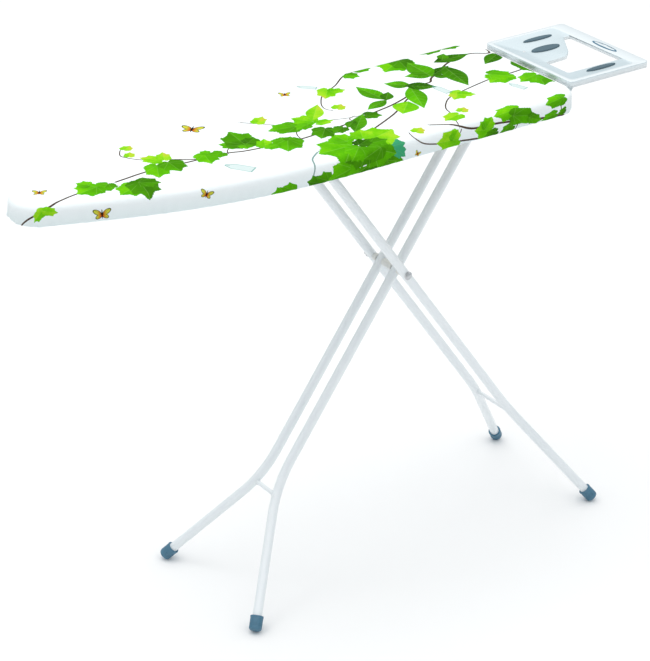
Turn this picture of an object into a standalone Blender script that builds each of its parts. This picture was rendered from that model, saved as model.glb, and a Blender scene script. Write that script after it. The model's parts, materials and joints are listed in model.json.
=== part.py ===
"""Folding ironing board with crossed tube legs, a height lever and an iron rest.

Metres, +Z up. +X runs from the nose to the iron rest, -Y is the side with the height lever's grip.
The origin is on the floor, midway along the whole length. The board stands open, with the lever squeezed.
"""

from math import acos, atan2, cos, degrees, pi, radians, sin, tan

import bmesh
import bpy
from mathutils import Matrix, Vector
from mathutils.geometry import interpolate_bezier

for old in list(bpy.data.objects):
    bpy.data.objects.remove(old, do_unlink=True)

# ---- driving sizes ----
gap = 0.0003                    # between pieces that touch
working_height = 0.915          # floor to the top of the cover
board_length = 1.100
board_width = 0.330
nose_radius = 0.052             # round end of the nose
nose_slope = radians(21)        # where the nose's arc turns into the flank
taper_length = 0.600            # nose tip to the start of the straight sides
corner_radius = 0.048           # at the wide end

cover_thickness = 0.0012
foam_thickness = 0.008
top_sheet = 0.0005              # expanded steel top under the foam, as a plain sheet of equal mass
rim_height = 0.027
rim_wall = 0.0008
rim_lip = 0.009                 # turned in at the top and bottom of the rim
hem_width = 0.028               # cover turned under the rim
cover_roll = 0.004              # radius where the cover turns down

tube_radius = 0.009
tube_wall = 0.0009
leg_lean = radians(35.66)       # from upright, both legs, when the board stands
fold_rest = radians(1.5)        # what is left of the lean's complement when folded flat
axle_drop = 0.0455              # board's top to the hinge rod and the slide axle
crossing_drop = 0.2855          # hinge rod to the crossing bolt, upright
crossing_from_rear = 0.315      # wide end to the crossing bolt
inner_half_gap = 0.0235         # middle of the board to an inner tube's centre
outer_half_gap = 0.0516
tube_end_margin = 0.0015        # slide axle to the tube's end plug
bend_radius = 0.220
inner_splay = radians(28.9)
inner_bend_height = 0.205
outer_splay = radians(21.7)
outer_bend_height = 0.216
brace_radius = 0.004
brace_drop = 0.017              # bend to brace, along the leg

cap_wall = 0.0029
cap_round = 0.0055
cap_length = 0.028
cap_floor = 0.0045
plug_flange = 0.0018
plug_depth = 0.0025

bolt_radius = 0.004
bolt_clearance = 0.0003
bolt_head_radius = 0.007
bolt_head_height = 0.0045
bolt_head_round = 0.002
bolt_overrun = 0.0085           # bolt past the far washer
nut_radius = 0.0075             # across its corners
nut_height = 0.0065
washer_radius = 0.0085
washer_thickness = 0.0015
spacer_radius = 0.0075
hinge_rod_radius = 0.004
hinge_rod_flare = 0.0012        # its head, past the rod and past the ear
hinge_rod_chamfer = 0.0005
hinge_collar = 0.003            # inner tube to the bracket's ear
hinge_collar_radius = 0.0075
slide_axle_radius = 0.006
axle_inset = 0.0008             # axle's end to the rail's web
glide_radius = 0.010
glide_width = 0.011
glide_inset = 0.0012            # glide to the rail's web
glide_clearance = 0.0003

stay_width = 0.030
stay_height = 0.012
sheet_wall = 0.0012             # stays, rails, brackets and comb
rail_lip = 0.0155
rail_flange = 0.012
rail_overrun = 0.016            # rail past the glide at each end of its travel
rail_inset = 0.0005             # rail's end inside the middle stay's edge
rail_side_gap = 0.0024          # outer tube to the rail's lip
rear_stay_inset = 0.065         # wide end to the rear stay

bracket_length = 0.026
bracket_wall = 0.002
bracket_edge = 0.009            # ear below the hinge rod's centre

lever_y = 0.0365
lever_drop = 0.0295             # board's top to the lever shaft
lever_radius = 0.004
lever_squeeze = radians(13)
comb_notches = 5
notch_pitch = 0.035
notch_clearance = 0.0004
tooth_depth = 0.001             # tooth tip below the slide axle's centre
comb_tooth = 0.0057
arm_from_crossing = -0.060
arm_width = 0.020
grip_length = 0.070
grip_inset = 0.0495             # board's edge to the middle of the grip
grip_drop = 0.0305
grip_height = 0.0124
grip_corner = 0.004
grip_round = 0.002
grip_back = 0.0155              # middle of the grip to its end on the arm's side
grip_front = 0.008
grip_socket = 0.012             # depth of its slot past the arm's end
arm_side = 0.016                # middle of the grip to the arm's end
shaft_overrun = 0.010           # lever shaft past the front stay's middle
strap_wall = 0.0012
strap_width = 0.012
arm_knee = (0.066, 0.003)       # where the lever's arm turns down, from its shaft
spring_wire = 0.0006
spring_turns = 6
spring_clearance = 0.0008
spring_leg = 0.012              # its loose leg, downwards
spring_stand = 0.004            # from the stay, and below the steel top

tray_gap = 0.004
tray_length = 0.194
tray_width = 0.252
tray_raise = 0.004              # tray's top above the cover's
tray_depth = 0.012
tray_wall = 0.0015
tray_corner = 0.009
tray_edge = 0.0015              # rounding of its upper edge
flange_depth = 0.008            # turned down round the tray's window
window_start = 0.030            # from the tray's board side
window_end = 0.031              # from the tray's outer side
window_near = 0.042             # from the tray's near side
window_far = 0.060              # from the tray's far side
window_corner = 0.006
hang_hole_radius = 0.003
hang_hole_inset = 0.077         # from the tray's far side
pad_height = 0.0016
pad_edge = 0.001
narrow_pad = (0.071, 0.0125)    # length and width
wide_pad = (0.068, 0.0225)
wide_pad_y = 0.037
near_pad_inset = 0.027          # tray's near side to the middle of the near pad
far_pad_inset = 0.040
rest_arm_inset = 0.021          # tray's side to the middle of an arm
rest_arm_width = 0.016
rest_arm_thickness = 0.003
boss_radius = 0.0052
boss_height = 0.005
arm_clearance = 0.0008          # arm to the hem
arm_past_rivet = 0.012
arm_step = 0.006                # arm's flat, past the hem's inner edge
arm_rise = 0.020                # its bends on both sides of the gap before the tray
arm_end = 0.018                 # arm's end to the tray's outer side
screw_radius = 0.002
screw_head = 0.004
screw_head_height = 0.0022
screw_tip = 0.0008
screw_short = 0.0015            # screw's end below its hole's
rivet_head_height = 0.0018
screw_first = 0.040             # tray's board side to the first screws
screw_last = 0.044              # tray's outer side to the last screws

# ---- places worked out from them ----
overall_length = board_length + tray_gap + tray_length
nose_x = -overall_length / 2
rear_x = nose_x + board_length
half_width = board_width / 2
cover_under = working_height - cover_thickness
foam_top = cover_under - gap
foam_bottom = foam_top - foam_thickness
sheet_top = foam_bottom - gap
sheet_bottom = sheet_top - top_sheet
rim_top = sheet_bottom - gap
rim_bottom = rim_top - rim_height
hem_top = rim_bottom - gap
hem_bottom = hem_top - cover_thickness
stay_top = rim_top - rim_wall - gap
stay_bottom = stay_top - stay_height

axle_height = working_height - axle_drop
crossing_height = axle_height - crossing_drop
upper_length = crossing_drop / cos(leg_lean)
tube_end = slide_axle_radius + plug_depth + tube_end_margin
cap_radius = tube_radius + gap + cap_wall
crossing_x = rear_x - crossing_from_rear
hinge_x = crossing_x + upper_length * sin(leg_lean)
slide_x = crossing_x - upper_length * sin(leg_lean)
folded_x = hinge_x - 2 * upper_length * cos(fold_rest)
rail_y = outer_half_gap + tube_radius + rail_side_gap + rail_lip
hinge_ear = inner_half_gap + tube_radius + hinge_collar
grip_reach = half_width + lever_y - grip_inset
tray_x = rear_x + tray_gap
tray_top = working_height + tray_raise
tray_bottom = tray_top - tray_depth
tray_under = tray_top - tray_wall
tray_half = tray_width / 2
rest_arm_y = tray_half - rest_arm_inset


# ---- materials ----
def material(name, colour, roughness, metallic=0.0):
    made = bpy.data.materials.new(name)
    made.use_nodes = True
    shader = made.node_tree.nodes["Principled BSDF"]
    shader.inputs["Base Color"].default_value = (*colour, 1.0)
    shader.inputs["Roughness"].default_value = roughness
    shader.inputs["Metallic"].default_value = metallic
    made.diffuse_color = (*colour, 1.0)
    return made


cotton = material("printed_cotton", (0.86, 0.88, 0.88), 0.85)
foam = material("polyester_foam", (0.93, 0.91, 0.82), 0.95)
paint = material("white_paint", (0.80, 0.84, 0.87), 0.35)
galvanised = material("galvanised_steel", (0.60, 0.62, 0.64), 0.40, 0.9)
cap_plastic = material("slate_plastic", (0.08, 0.19, 0.29), 0.45)
nylon = material("white_nylon", (0.85, 0.85, 0.82), 0.40)
rest_paint = material("rest_enamel", (0.84, 0.87, 0.90), 0.30)
silicone = material("grey_silicone", (0.13, 0.20, 0.26), 0.55)
grip_plastic = material("grip_plastic", (0.10, 0.21, 0.31), 0.50)


# ---- modelling helpers ----
def finished(name, mesh_or_bm, surface, parent=None):
    """One named object from a mesh or a bmesh, shaded smooth up to 35 degree edges."""
    mesh = mesh_or_bm
    if isinstance(mesh_or_bm, bmesh.types.BMesh):
        mesh = bpy.data.meshes.new(name)
        bmesh.ops.recalc_face_normals(mesh_or_bm, faces=mesh_or_bm.faces[:])
        if mesh_or_bm.calc_volume(signed=True) < 0:
            bmesh.ops.reverse_faces(mesh_or_bm, faces=mesh_or_bm.faces[:])
        mesh_or_bm.to_mesh(mesh)
        mesh_or_bm.free()
    mesh.materials.append(surface)
    mesh.shade_smooth()
    mesh.set_sharp_from_angle(angle=radians(35))
    piece = bpy.data.objects.new(name, mesh)
    bpy.context.scene.collection.objects.link(piece)
    piece.parent = parent
    return piece


def lofted(name, rings, surface, parent=None):
    """A solid skinned over rings of equally many points, with its first and last ring closed."""
    bm = bmesh.new()
    loops = [[bm.verts.new(point) for point in ring] for ring in rings]
    for near, far in zip(loops, loops[1:]):
        for i, corner in enumerate(near):
            bm.faces.new((near[i - 1], corner, far[i], far[i - 1]))
    bm.faces.new(loops[0])
    bm.faces.new(loops[-1])
    return finished(name, bm, surface, parent)


def prism(name, outline, along, surface, parent=None):
    """A flat outline, given as points in space, extruded along a vector."""
    bm = bmesh.new()
    face = bm.faces.new([bm.verts.new(point) for point in outline])
    pushed = bmesh.ops.extrude_face_region(bm, geom=[face], use_keep_orig=True)
    moved = [item for item in pushed["geom"] if isinstance(item, bmesh.types.BMVert)]
    bmesh.ops.translate(bm, verts=moved, vec=along)
    return finished(name, bm, surface, parent)


def turned(name, profile, surface, start, direction, parent=None, segments=16):
    """A profile of (radius, distance) corners spun about a line from start along direction."""
    bm = bmesh.new()
    points = [bm.verts.new((radius, 0, distance)) for radius, distance in profile]
    pairs = list(zip(points, points[1:]))
    if profile[0][0] > 0 and profile[-1][0] > 0:
        pairs.append((points[-1], points[0]))
    # a stretch along the line itself sweeps no face
    edges = [bm.edges.new(pair) for pair in pairs if pair[0].co.x > 0 or pair[1].co.x > 0]
    bmesh.ops.spin(bm, geom=points + edges, cent=(0, 0, 0), axis=(0, 0, 1), angle=2 * pi,
                   steps=segments, use_merge=True)
    bmesh.ops.remove_doubles(bm, verts=bm.verts[:], dist=1e-6)
    turn = Vector(direction).to_track_quat("Z", "Y").to_matrix().to_4x4()
    bm.transform(Matrix.Translation(Vector(start)) @ turn)
    return finished(name, bm, surface, parent)


def rod(name, radius, start, end, surface, parent=None, segments=16, chamfer=0.0006):
    """A round bar with chamfered ends."""
    run = Vector(end) - Vector(start)
    profile = [(0, 0), (radius - chamfer, 0), (radius, chamfer), (radius, run.length - chamfer),
               (radius - chamfer, run.length), (0, run.length)]
    return turned(name, profile, surface, start, run, parent, segments)


def ring_piece(name, inner, outer, start, length, surface, parent=None, segments=16):
    """A washer, spacer or bush along Y from start."""
    profile = [(inner, 0), (outer, 0), (outer, length), (inner, length)]
    return turned(name, profile, surface, start, (0, 1, 0), parent, segments)


def hollow_tube(name, path, radius, wall, surface, parent=None, segments=14):
    """A round tube with open ends along a path in the YZ plane."""
    bm = bmesh.new()
    loops = []
    for size in (radius, radius - wall):
        loops.append([])
        for i, here in enumerate(path):
            run = Vector(path[min(i + 1, len(path) - 1)]) - Vector(path[max(i - 1, 0)])
            side = Vector((1, 0, 0))
            up = run.normalized().cross(side)
            turns = [2 * pi * k / segments for k in range(segments)]
            ring = [Vector(here) + size * (cos(turn) * side + sin(turn) * up) for turn in turns]
            loops[-1].append([bm.verts.new(point) for point in ring])
    outer, inner = loops
    around = outer + inner[::-1]
    for k, far in enumerate(around):
        near = around[k - 1]
        for i, corner in enumerate(near):
            bm.faces.new((near[i - 1], corner, far[i], far[i - 1]))
    return finished(name, bm, surface, parent)


def hidden(piece):
    piece.hide_render = True
    piece.display_type = "WIRE"
    return piece


def boolean(piece, other, operation="DIFFERENCE"):
    """Cuts or joins with another piece, which is then a guide and not a part of its own."""
    modifier = piece.modifiers.new(operation.lower(), "BOOLEAN")
    modifier.operation = operation
    modifier.object = hidden(other)


def empty(name, place, turn, parent=None):
    made = bpy.data.objects.new(name, None)
    bpy.context.scene.collection.objects.link(made)
    made.empty_display_size = 0.05
    made.location = place
    made.rotation_euler = turn
    made.parent = parent
    return made


# ---- the board's outline ----
arc_steps = 6                   # along the nose's arc, each side
flank_steps = 13
corner_steps = 5
nose_stations = 9               # outline points from the nose tip to the rim's first joint


def board_edge():
    """Points of one side, from the nose tip to the middle of the wide end, as (x, y)."""
    centre = nose_x + nose_radius
    arc = [pi - k / arc_steps * (pi / 2 - nose_slope) for k in range(arc_steps + 1)]
    side = [(centre + nose_radius * cos(turn), nose_radius * sin(turn)) for turn in arc]
    begin = Vector((*side.pop(), 0))
    end = Vector((nose_x + taper_length, half_width, 0))
    reach = (end.x - begin.x) * 0.36
    leave = begin + reach * Vector((cos(nose_slope), sin(nose_slope), 0))
    arrive = end - Vector((reach * 1.25, 0, 0))
    side += [(point.x, point.y) for point in interpolate_bezier(begin, leave, arrive, end, flank_steps)]
    for k in range(corner_steps + 1):
        turn = pi / 2 * (1 - k / corner_steps)
        side.append((rear_x - corner_radius + corner_radius * cos(turn),
                     half_width - corner_radius + corner_radius * sin(turn)))
    return side


edge_points = board_edge()


def outline(inset, height):
    """The board's closed outline moved inwards by inset, at a height."""
    loop = edge_points + [(x, -y) for x, y in reversed(edge_points[1:])]
    ring = []
    for i, (x, y) in enumerate(loop):
        before = Vector(loop[i - 1])
        after = Vector(loop[(i + 1) % len(loop)])
        here = Vector((x, y))
        # both neighbouring stretches move in by the same amount
        into = (here - before).normalized()
        out = (after - here).normalized()
        normal = (Vector((into.y, -into.x)) + Vector((out.y, -out.x))).normalized()
        share = max(normal.dot(Vector((into.y, -into.x))), 0.5)
        moved = here + normal * inset / share
        ring.append((moved.x, moved.y, height))
    return ring


def half_width_at(x, inset):
    """Half the board's width at x, inside an inset."""
    side = [point for point in outline(inset, 0) if point[1] >= 0]
    for near, far in zip(side, side[1:]):
        if near[0] <= x <= far[0]:
            share = (x - near[0]) / (far[0] - near[0])
            return near[1] + share * (far[1] - near[1])
    return 0.0


# ---- board ----
def make_cover():
    wall = cover_thickness
    roll = cover_roll
    inner = [outline(wall + roll, cover_under), outline(wall + roll * 0.3, cover_under - roll * 0.3),
             outline(wall, cover_under - roll), outline(wall, hem_top),
             outline(hem_width, hem_top)]
    outer = [outline(hem_width, hem_bottom), outline(roll * 0.5, hem_bottom),
             outline(0, hem_bottom + roll * 0.5), outline(0, working_height - roll),
             outline(roll * 0.3, working_height - roll * 0.3), outline(roll, working_height)]
    lofted("cover", inner + outer, cotton)


def make_core():
    """Foam and steel top inside the cover."""
    inset = cover_thickness + cover_roll
    lofted("foam_pad", [outline(inset, foam_bottom), outline(inset, foam_top)], foam)
    lofted("mesh_top", [outline(inset, sheet_bottom), outline(inset, sheet_top)], paint)


def make_rim():
    """Channel bent round the board, in four lengths that butt together."""
    start = cover_thickness + gap
    section = [(start, rim_top), (start, rim_bottom), (start + rim_lip, rim_bottom),
               (start + rim_lip, rim_bottom + rim_wall), (start + rim_wall, rim_bottom + rim_wall),
               (start + rim_wall, rim_top - rim_wall), (start + rim_lip, rim_top - rim_wall),
               (start + rim_lip, rim_top)]
    corners = [outline(inset, height) for inset, height in section]
    count = len(corners[0])
    half = count // 2
    wide_end = half - corner_steps
    lengths = {
        "rim_nose": (-nose_stations, nose_stations),
        "rim_far": (nose_stations, wide_end),
        "rim_rear": (wide_end, count - wide_end),
        "rim_near": (count - wide_end, count - nose_stations),
    }
    for name, (first, last) in lengths.items():
        rings = [[Vector(corner[k % count]) for corner in corners] for k in range(first, last + 1)]
        for end, neighbour in ((0, 1), (-1, -2)):
            run = (rings[neighbour][0] - rings[end][0]).normalized()
            rings[end] = [point + run * gap / 2 for point in rings[end]]
        lofted(name, rings, paint)


def make_stay(name, x):
    """Downward open channel across the rim."""
    half = stay_width / 2
    inset = cover_thickness + gap + rim_wall + gap
    reach = min(half_width_at(x - half, inset), half_width_at(x + half, inset))
    wall = sheet_wall
    section = [(-half, stay_bottom), (-half, stay_top), (half, stay_top), (half, stay_bottom),
               (half - wall, stay_bottom), (half - wall, stay_top - wall),
               (wall - half, stay_top - wall), (wall - half, stay_bottom)]
    outline_points = [(x + across, -reach, height) for across, height in section]
    return prism(name, outline_points, (0, 2 * reach, 0), paint)


stay_places = {
    "stay_front": folded_x,
    "stay_middle": slide_x + stay_width / 2 + rail_overrun,
    "stay_hinge": hinge_x,
    "stay_rear": rear_x - rear_stay_inset,
}


def make_rails():
    """C-section guides that hang from the front and middle stays."""
    inside = glide_radius + glide_clearance
    lip, wall = rail_lip, sheet_wall
    top = stay_bottom - gap
    section = [(-lip, -inside - wall), (wall, -inside - wall), (wall, top - wall - axle_height),
               (rail_flange, top - wall - axle_height), (rail_flange, top - axle_height),
               (0, top - axle_height), (0, inside + wall), (-lip, inside + wall), (-lip, inside),
               (0, inside), (0, -inside), (-lip, -inside)]
    start = folded_x - rail_overrun
    end = stay_places["stay_middle"] + stay_width / 2 - rail_inset
    for name, side in (("rail_near", -1), ("rail_far", 1)):
        points = [(start, side * (rail_y + across), axle_height + height) for across, height in section]
        prism(name, points, (end - start, 0, 0), paint)


def make_hinge_bracket():
    """U bracket under the hinge stay, with bored ears."""
    inside = hinge_ear
    wall = bracket_wall
    top = stay_bottom - gap
    low = axle_height - bracket_edge
    section = [(-inside - wall, low), (-inside - wall, top), (inside + wall, top),
               (inside + wall, low), (inside, low), (inside, top - wall), (-inside, top - wall),
               (-inside, low)]
    points = [(hinge_x - bracket_length / 2, y, z) for y, z in section]
    bracket = prism("hinge_bracket", points, (bracket_length, 0, 0), galvanised)
    past = inside + 2 * wall
    cutter = rod("hinge_bracket_bore", hinge_rod_radius + bolt_clearance, (hinge_x, -past, axle_height),
                 (hinge_x, past, axle_height), galvanised)
    boolean(bracket, cutter)


def make_lever_bracket(name, x):
    """Strap round the lever shaft, below a stay."""
    reach = lever_radius + gap
    wall, width = strap_wall, strap_width
    shaft = working_height - lever_drop
    top = stay_bottom - gap
    section = [(-reach - wall, top), (-reach - wall, shaft - reach - wall),
               (reach + wall, shaft - reach - wall), (reach + wall, top), (reach, top),
               (reach, shaft - reach), (-reach, shaft - reach), (-reach, top)]
    points = [(x - width / 2, lever_y + y, z) for y, z in section]
    prism(name, points, (width, 0, 0), galvanised)


def make_lever_spring():
    """Torsion spring round the lever shaft, with one leg up against the steel top."""
    centre = Vector((0, lever_y, working_height - lever_drop))
    start = stay_places["stay_middle"] + stay_width / 2 + spring_stand
    coil = lever_radius + spring_clearance + spring_wire
    pitch = spring_wire * 2 + gap * 2
    per_turn = 12
    points = [(start, lever_y + coil, sheet_bottom - spring_stand)]
    for k in range(spring_turns * per_turn + 1):
        turn = 2 * pi * k / per_turn
        points.append((start + pitch * k / per_turn, centre.y + coil * cos(turn),
                       centre.z + coil * sin(turn)))
    last = Vector(points[-1])
    points.append((last.x, last.y, last.z - spring_leg))
    curve = bpy.data.curves.new("lever_spring", "CURVE")
    curve.dimensions = "3D"
    curve.bevel_depth = spring_wire
    curve.bevel_resolution = 1
    curve.use_fill_caps = True
    line = curve.splines.new("POLY")
    line.points.add(len(points) - 1)
    for point, place in zip(line.points, points):
        point.co = (*place, 1)
    curve.materials.append(galvanised)
    bpy.context.scene.collection.objects.link(bpy.data.objects.new("lever_spring", curve))


# ---- iron rest ----
def rounded(x0, x1, y0, y1, radius, height, steps=4):
    """A rectangle with round corners, as a ring of points."""
    ring = []
    corners = ((x1, y1, 0), (x0, y1, 1), (x0, y0, 2), (x1, y0, 3))
    for x, y, quarter in corners:
        cx = x - radius if x == x1 else x + radius
        cy = y - radius if y == y1 else y + radius
        for k in range(steps + 1):
            turn = pi / 2 * (quarter + k / steps)
            ring.append((cx + radius * cos(turn), cy + radius * sin(turn), height))
    return ring


def window(outset, height):
    """The tray's L-shaped window, its corners moved out by outset and rounded."""
    start = tray_x + window_start
    end = tray_x + tray_length - window_end
    far, near = tray_half - window_far, window_near - tray_half
    corners = [(start, near), (end, near), (end, far), (end - 0.017, far), (end - 0.059, 0.002),
               (end - 0.077, -0.014), (start, -0.018)]
    ring = []
    for i, corner in enumerate(corners):
        here = Vector(corner)
        before = (here - Vector(corners[i - 1])).normalized()
        after = (Vector(corners[(i + 1) % len(corners)]) - here).normalized()
        normal = (Vector((before.y, -before.x)) + Vector((after.y, -after.x))).normalized()
        share = normal.dot(Vector((before.y, -before.x)))
        moved = here + normal * outset / share
        cut = window_corner
        for k in range(4):
            # a round corner as a quadratic curve between two points on its sides
            t = k / 3
            point = (1 - t) ** 2 * (moved - before * cut) + 2 * t * (1 - t) * moved + t * t * (moved + after * cut)
            ring.append((point.x, point.y, height))
    return ring


def make_tray():
    side, edge = tray_half, tray_edge
    end = tray_x + tray_length
    tray = lofted("rest_tray", [
        rounded(tray_x, end, -side, side, tray_corner, tray_bottom),
        rounded(tray_x, end, -side, side, tray_corner, tray_top - edge),
        rounded(tray_x + edge, end - edge, edge - side, side - edge, tray_corner - edge, tray_top),
    ], rest_paint)
    wall = tray_wall
    hollow = [rounded(tray_x + wall, end - wall, wall - side, side - wall, tray_corner - wall, height)
              for height in (tray_bottom - 0.01, tray_under)]
    boolean(tray, lofted("tray_hollow", hollow, rest_paint))
    flange = lofted("tray_flange", [window(wall, tray_top - flange_depth), window(wall, tray_top - edge)],
                    rest_paint)
    boolean(tray, flange, "UNION")
    for k, (x, y) in enumerate(screw_places()):
        boss = rod(f"tray_boss_{k}", boss_radius, (x, y, tray_under - boss_height),
                   (x, y, tray_under + wall / 2), rest_paint, segments=12)
        boolean(tray, boss, "UNION")
    boolean(tray, lofted("tray_window", [window(0, tray_bottom - 0.01), window(0, tray_top + 0.01)],
                         rest_paint))
    for k, (x, y) in enumerate(screw_places()):
        pilot = rod(f"tray_pilot_{k}", screw_radius + gap, (x, y, tray_bottom - 0.01),
                    (x, y, tray_under - gap), rest_paint, segments=12)
        boolean(tray, pilot)
    hang_x, hang_y = tray_x + window_start + hang_hole_radius, tray_half - hang_hole_inset
    hang_hole = rod("tray_hang_hole", hang_hole_radius, (hang_x, hang_y, tray_bottom),
                    (hang_x, hang_y, tray_top + 0.01), rest_paint, segments=12)
    boolean(tray, hang_hole)


def screw_places():
    """Screws that hold the tray on its arms, two on each side."""
    places = (tray_x + screw_first, tray_x + tray_length - screw_last)
    return [(x, side * rest_arm_y) for side in (-1, 1) for x in places]


def make_pad(name, x, y, size):
    """Low oval pad on the tray."""
    length, width = size
    rings = []
    for shrink, height in ((0, gap), (0, pad_height - pad_edge * 0.64), (pad_edge, pad_height)):
        turns = [2 * pi * k / 24 for k in range(24)]
        rings.append([(x + (length / 2 - shrink) * cos(turn), y + (width / 2 - shrink) * sin(turn),
                       tray_top + height) for turn in turns])
    lofted(name, rings, silicone)


def make_rest_arms():
    """Bent flat bars from the rear stay, under the rim, up to the tray."""
    thick = rest_arm_thickness
    under_stay = stay_bottom - gap
    under_hem = hem_bottom - arm_clearance
    under_tray = tray_under - boss_height - gap
    stay_x = stay_places["stay_rear"]
    upper = [(stay_x - stay_width / 2, under_stay), (stay_x + arm_past_rivet, under_stay),
             (rear_x - hem_width - arm_step, under_hem), (tray_x, under_hem),
             (tray_x + tray_gap + arm_rise, under_tray), (tray_x + tray_length - arm_end, under_tray)]
    lower = [(x, z - thick) for x, z in upper]
    for name, side in (("near", -1), ("far", 1)):
        y = side * rest_arm_y - rest_arm_width / 2
        points = [(x, y, z) for x, z in upper + lower[::-1]]
        bar = prism(f"rest_arm_{name}", points, (0, rest_arm_width, 0), paint)
        holes = [(stay_x, side * rest_arm_y)] + [place for place in screw_places() if place[1] * side > 0]
        for k, (x, hole_y) in enumerate(holes):
            drill = rod(f"rest_arm_{name}_drill_{k}", screw_radius + gap, (x, hole_y, under_hem - 0.03),
                        (x, hole_y, tray_top), paint, segments=12)
            boolean(bar, drill)
        # rivet up into the stay, whose own hole is drilled here too
        rivet_top = stay_top - sheet_wall - gap
        tall, length = rivet_head_height, rivet_top - under_stay + thick
        head = [(0, -tall), (screw_head * 0.7, -tall), (screw_head, -tall * 0.2), (screw_head, 0),
                (screw_radius, 0), (screw_radius, length), (0, length)]
        turned(f"rest_rivet_{name}", head, galvanised, (stay_x, side * rest_arm_y, under_stay - thick - gap),
               (0, 0, 1), segments=12)
    for k, (x, y) in enumerate(screw_places()):
        tall, length = screw_head_height, boss_height + thick - screw_short
        head = [(0, -tall), (screw_head * 0.6, -tall), (screw_head, -tall * 0.36), (screw_head, 0),
                (screw_radius, 0), (screw_radius, length), (0, length + screw_tip)]
        turned(f"rest_screw_{k + 1}", head, galvanised, (x, y, under_tray - thick - gap), (0, 0, 1),
               segments=12)


# ---- legs ----
def leg_numbers(splay, bend_height):
    """Distances down a leg from the crossing, and the foot's height, from its splay and its bend."""
    tilt = acos(cos(splay) * cos(leg_lean))
    foot_height = (cap_radius - cap_round) * sin(tilt) + cap_round
    bend = (crossing_height - bend_height) / cos(leg_lean)
    foot = (crossing_height - foot_height) / cos(leg_lean)
    return bend, foot


def leg_path(half_gap, splay, bend_height, side):
    """Centre line from the top end to the middle of the foot's rounding, in the leg's YZ plane."""
    bend, foot = leg_numbers(splay, bend_height)
    tangent = bend_radius * tan(splay / 2)
    beside = tube_radius * 3        # rings clear of the crossing bolt's bore
    path = [(0, side * half_gap, upper_length + tube_end), (0, side * half_gap, beside),
            (0, side * half_gap, -beside), (0, side * half_gap, tangent - bend)]
    steps = 7
    for k in range(1, steps + 1):
        turn = splay * k / steps
        path.append((0, side * (half_gap + bend_radius * (1 - cos(turn))),
                     tangent - bend - bend_radius * sin(turn)))
    spread = half_gap + (foot - bend) * tan(splay)
    path.append((0, side * spread, -foot))
    return path


def make_leg(kind, parent, half_gap, splay, bend_height, top_radius):
    """Two bent tubes with their plugs, caps and brace. The origin is at the crossing bolt."""
    bend, _ = leg_numbers(splay, bend_height)
    for name, side in (("near", -1), ("far", 1)):
        path = leg_path(half_gap, splay, bend_height, side)
        foot = Vector(path[-1])
        outward = Vector((0, side * sin(splay), -cos(splay)))
        # the tube stops on the cap's floor
        tube_stop = foot + outward * (cap_round - cap_floor - gap)
        tube = hollow_tube(f"{kind}_tube_{name}", path[:-1] + [tuple(tube_stop)], tube_radius, tube_wall,
                           paint, parent)
        for bore, height, radius in (("top", upper_length, top_radius), ("crossing", 0, bolt_radius)):
            drill = rod(f"{kind}_{bore}_bore_{name}", radius + bolt_clearance, (0, side * half_gap - 0.02, height),
                        (0, side * half_gap + 0.02, height), paint, parent)
            boolean(tube, drill)
        arc = [(cap_radius - cap_round + cap_round * cos(turn), -cap_round * sin(turn))
               for turn in (0, pi / 8, pi / 4, 3 * pi / 8, pi / 2)]
        cup = [(tube_radius + gap, cap_length - cap_round), (cap_radius, cap_length - cap_round)]
        cup += arc + [(0, -cap_round), (0, cap_floor - cap_round), (tube_radius + gap, cap_floor - cap_round)]
        # the spin starts on the side that meets the floor
        turned(f"{kind}_cap_{name}", cup, cap_plastic, foot, -outward, parent, 24)
        end = upper_length + tube_end + gap
        inside = tube_radius - tube_wall - gap
        plug = [(0, -plug_depth), (inside, -plug_depth), (inside, 0), (tube_radius, 0),
                (tube_radius, plug_flange / 2), (tube_radius - plug_flange / 2, plug_flange), (0, plug_flange)]
        turned(f"{kind}_plug_{name}", plug, nylon, (0, side * half_gap, end), (0, 0, 1), parent, 14)
    drop = bend + brace_drop
    start = bend - bend_radius * tan(splay / 2)
    turn = min(atan2(drop - start, bend_radius), splay)
    middle = half_gap + bend_radius * (1 - cos(turn))
    reach = middle - brace_radius * tan(turn) - (tube_radius + gap) / cos(turn)
    rod(f"{kind}_brace", brace_radius, (0, -reach, -drop), (0, reach, -drop), paint, parent, 12, 0.0003)


def make_crossing(hinged, sliding):
    """Bolt, nut and washers through the four tubes, with spacers between them."""
    inner = inner_half_gap + tube_radius
    outer = outer_half_gap + tube_radius
    hole = bolt_radius + bolt_clearance
    ring_piece("crossing_spacer_middle", hole, spacer_radius, (0, gap - inner + 2 * tube_radius, 0),
               2 * (inner - 2 * tube_radius - gap), nylon, hinged)
    between = outer - 2 * tube_radius - inner - 2 * gap
    ring_piece("crossing_spacer_far", hole, spacer_radius, (0, inner + gap, 0), between, nylon, sliding)
    ring_piece("crossing_spacer_near", hole, spacer_radius, (0, -inner - gap - between, 0), between, nylon,
               sliding)
    ring_piece("crossing_washer_far", hole, washer_radius, (0, outer + gap, 0), washer_thickness,
               galvanised, sliding)
    ring_piece("crossing_washer_near", hole, washer_radius, (0, -outer - gap - washer_thickness, 0),
               washer_thickness, galvanised, sliding)
    seat = outer + washer_thickness + 2 * gap
    wide, tall, end = bolt_head_radius, bolt_head_height, 2 * seat + bolt_overrun
    head = [(0, -tall), (wide - bolt_head_round, -tall), (wide, bolt_head_round - tall), (wide, 0),
            (bolt_radius, 0), (bolt_radius, end), (0, end)]
    turned("crossing_bolt", head, galvanised, (0, -seat, 0), (0, 1, 0), hinged)
    ring_piece("crossing_nut", hole / cos(pi / 6), nut_radius, (0, seat, 0), nut_height, galvanised,
               hinged, 6)


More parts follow.
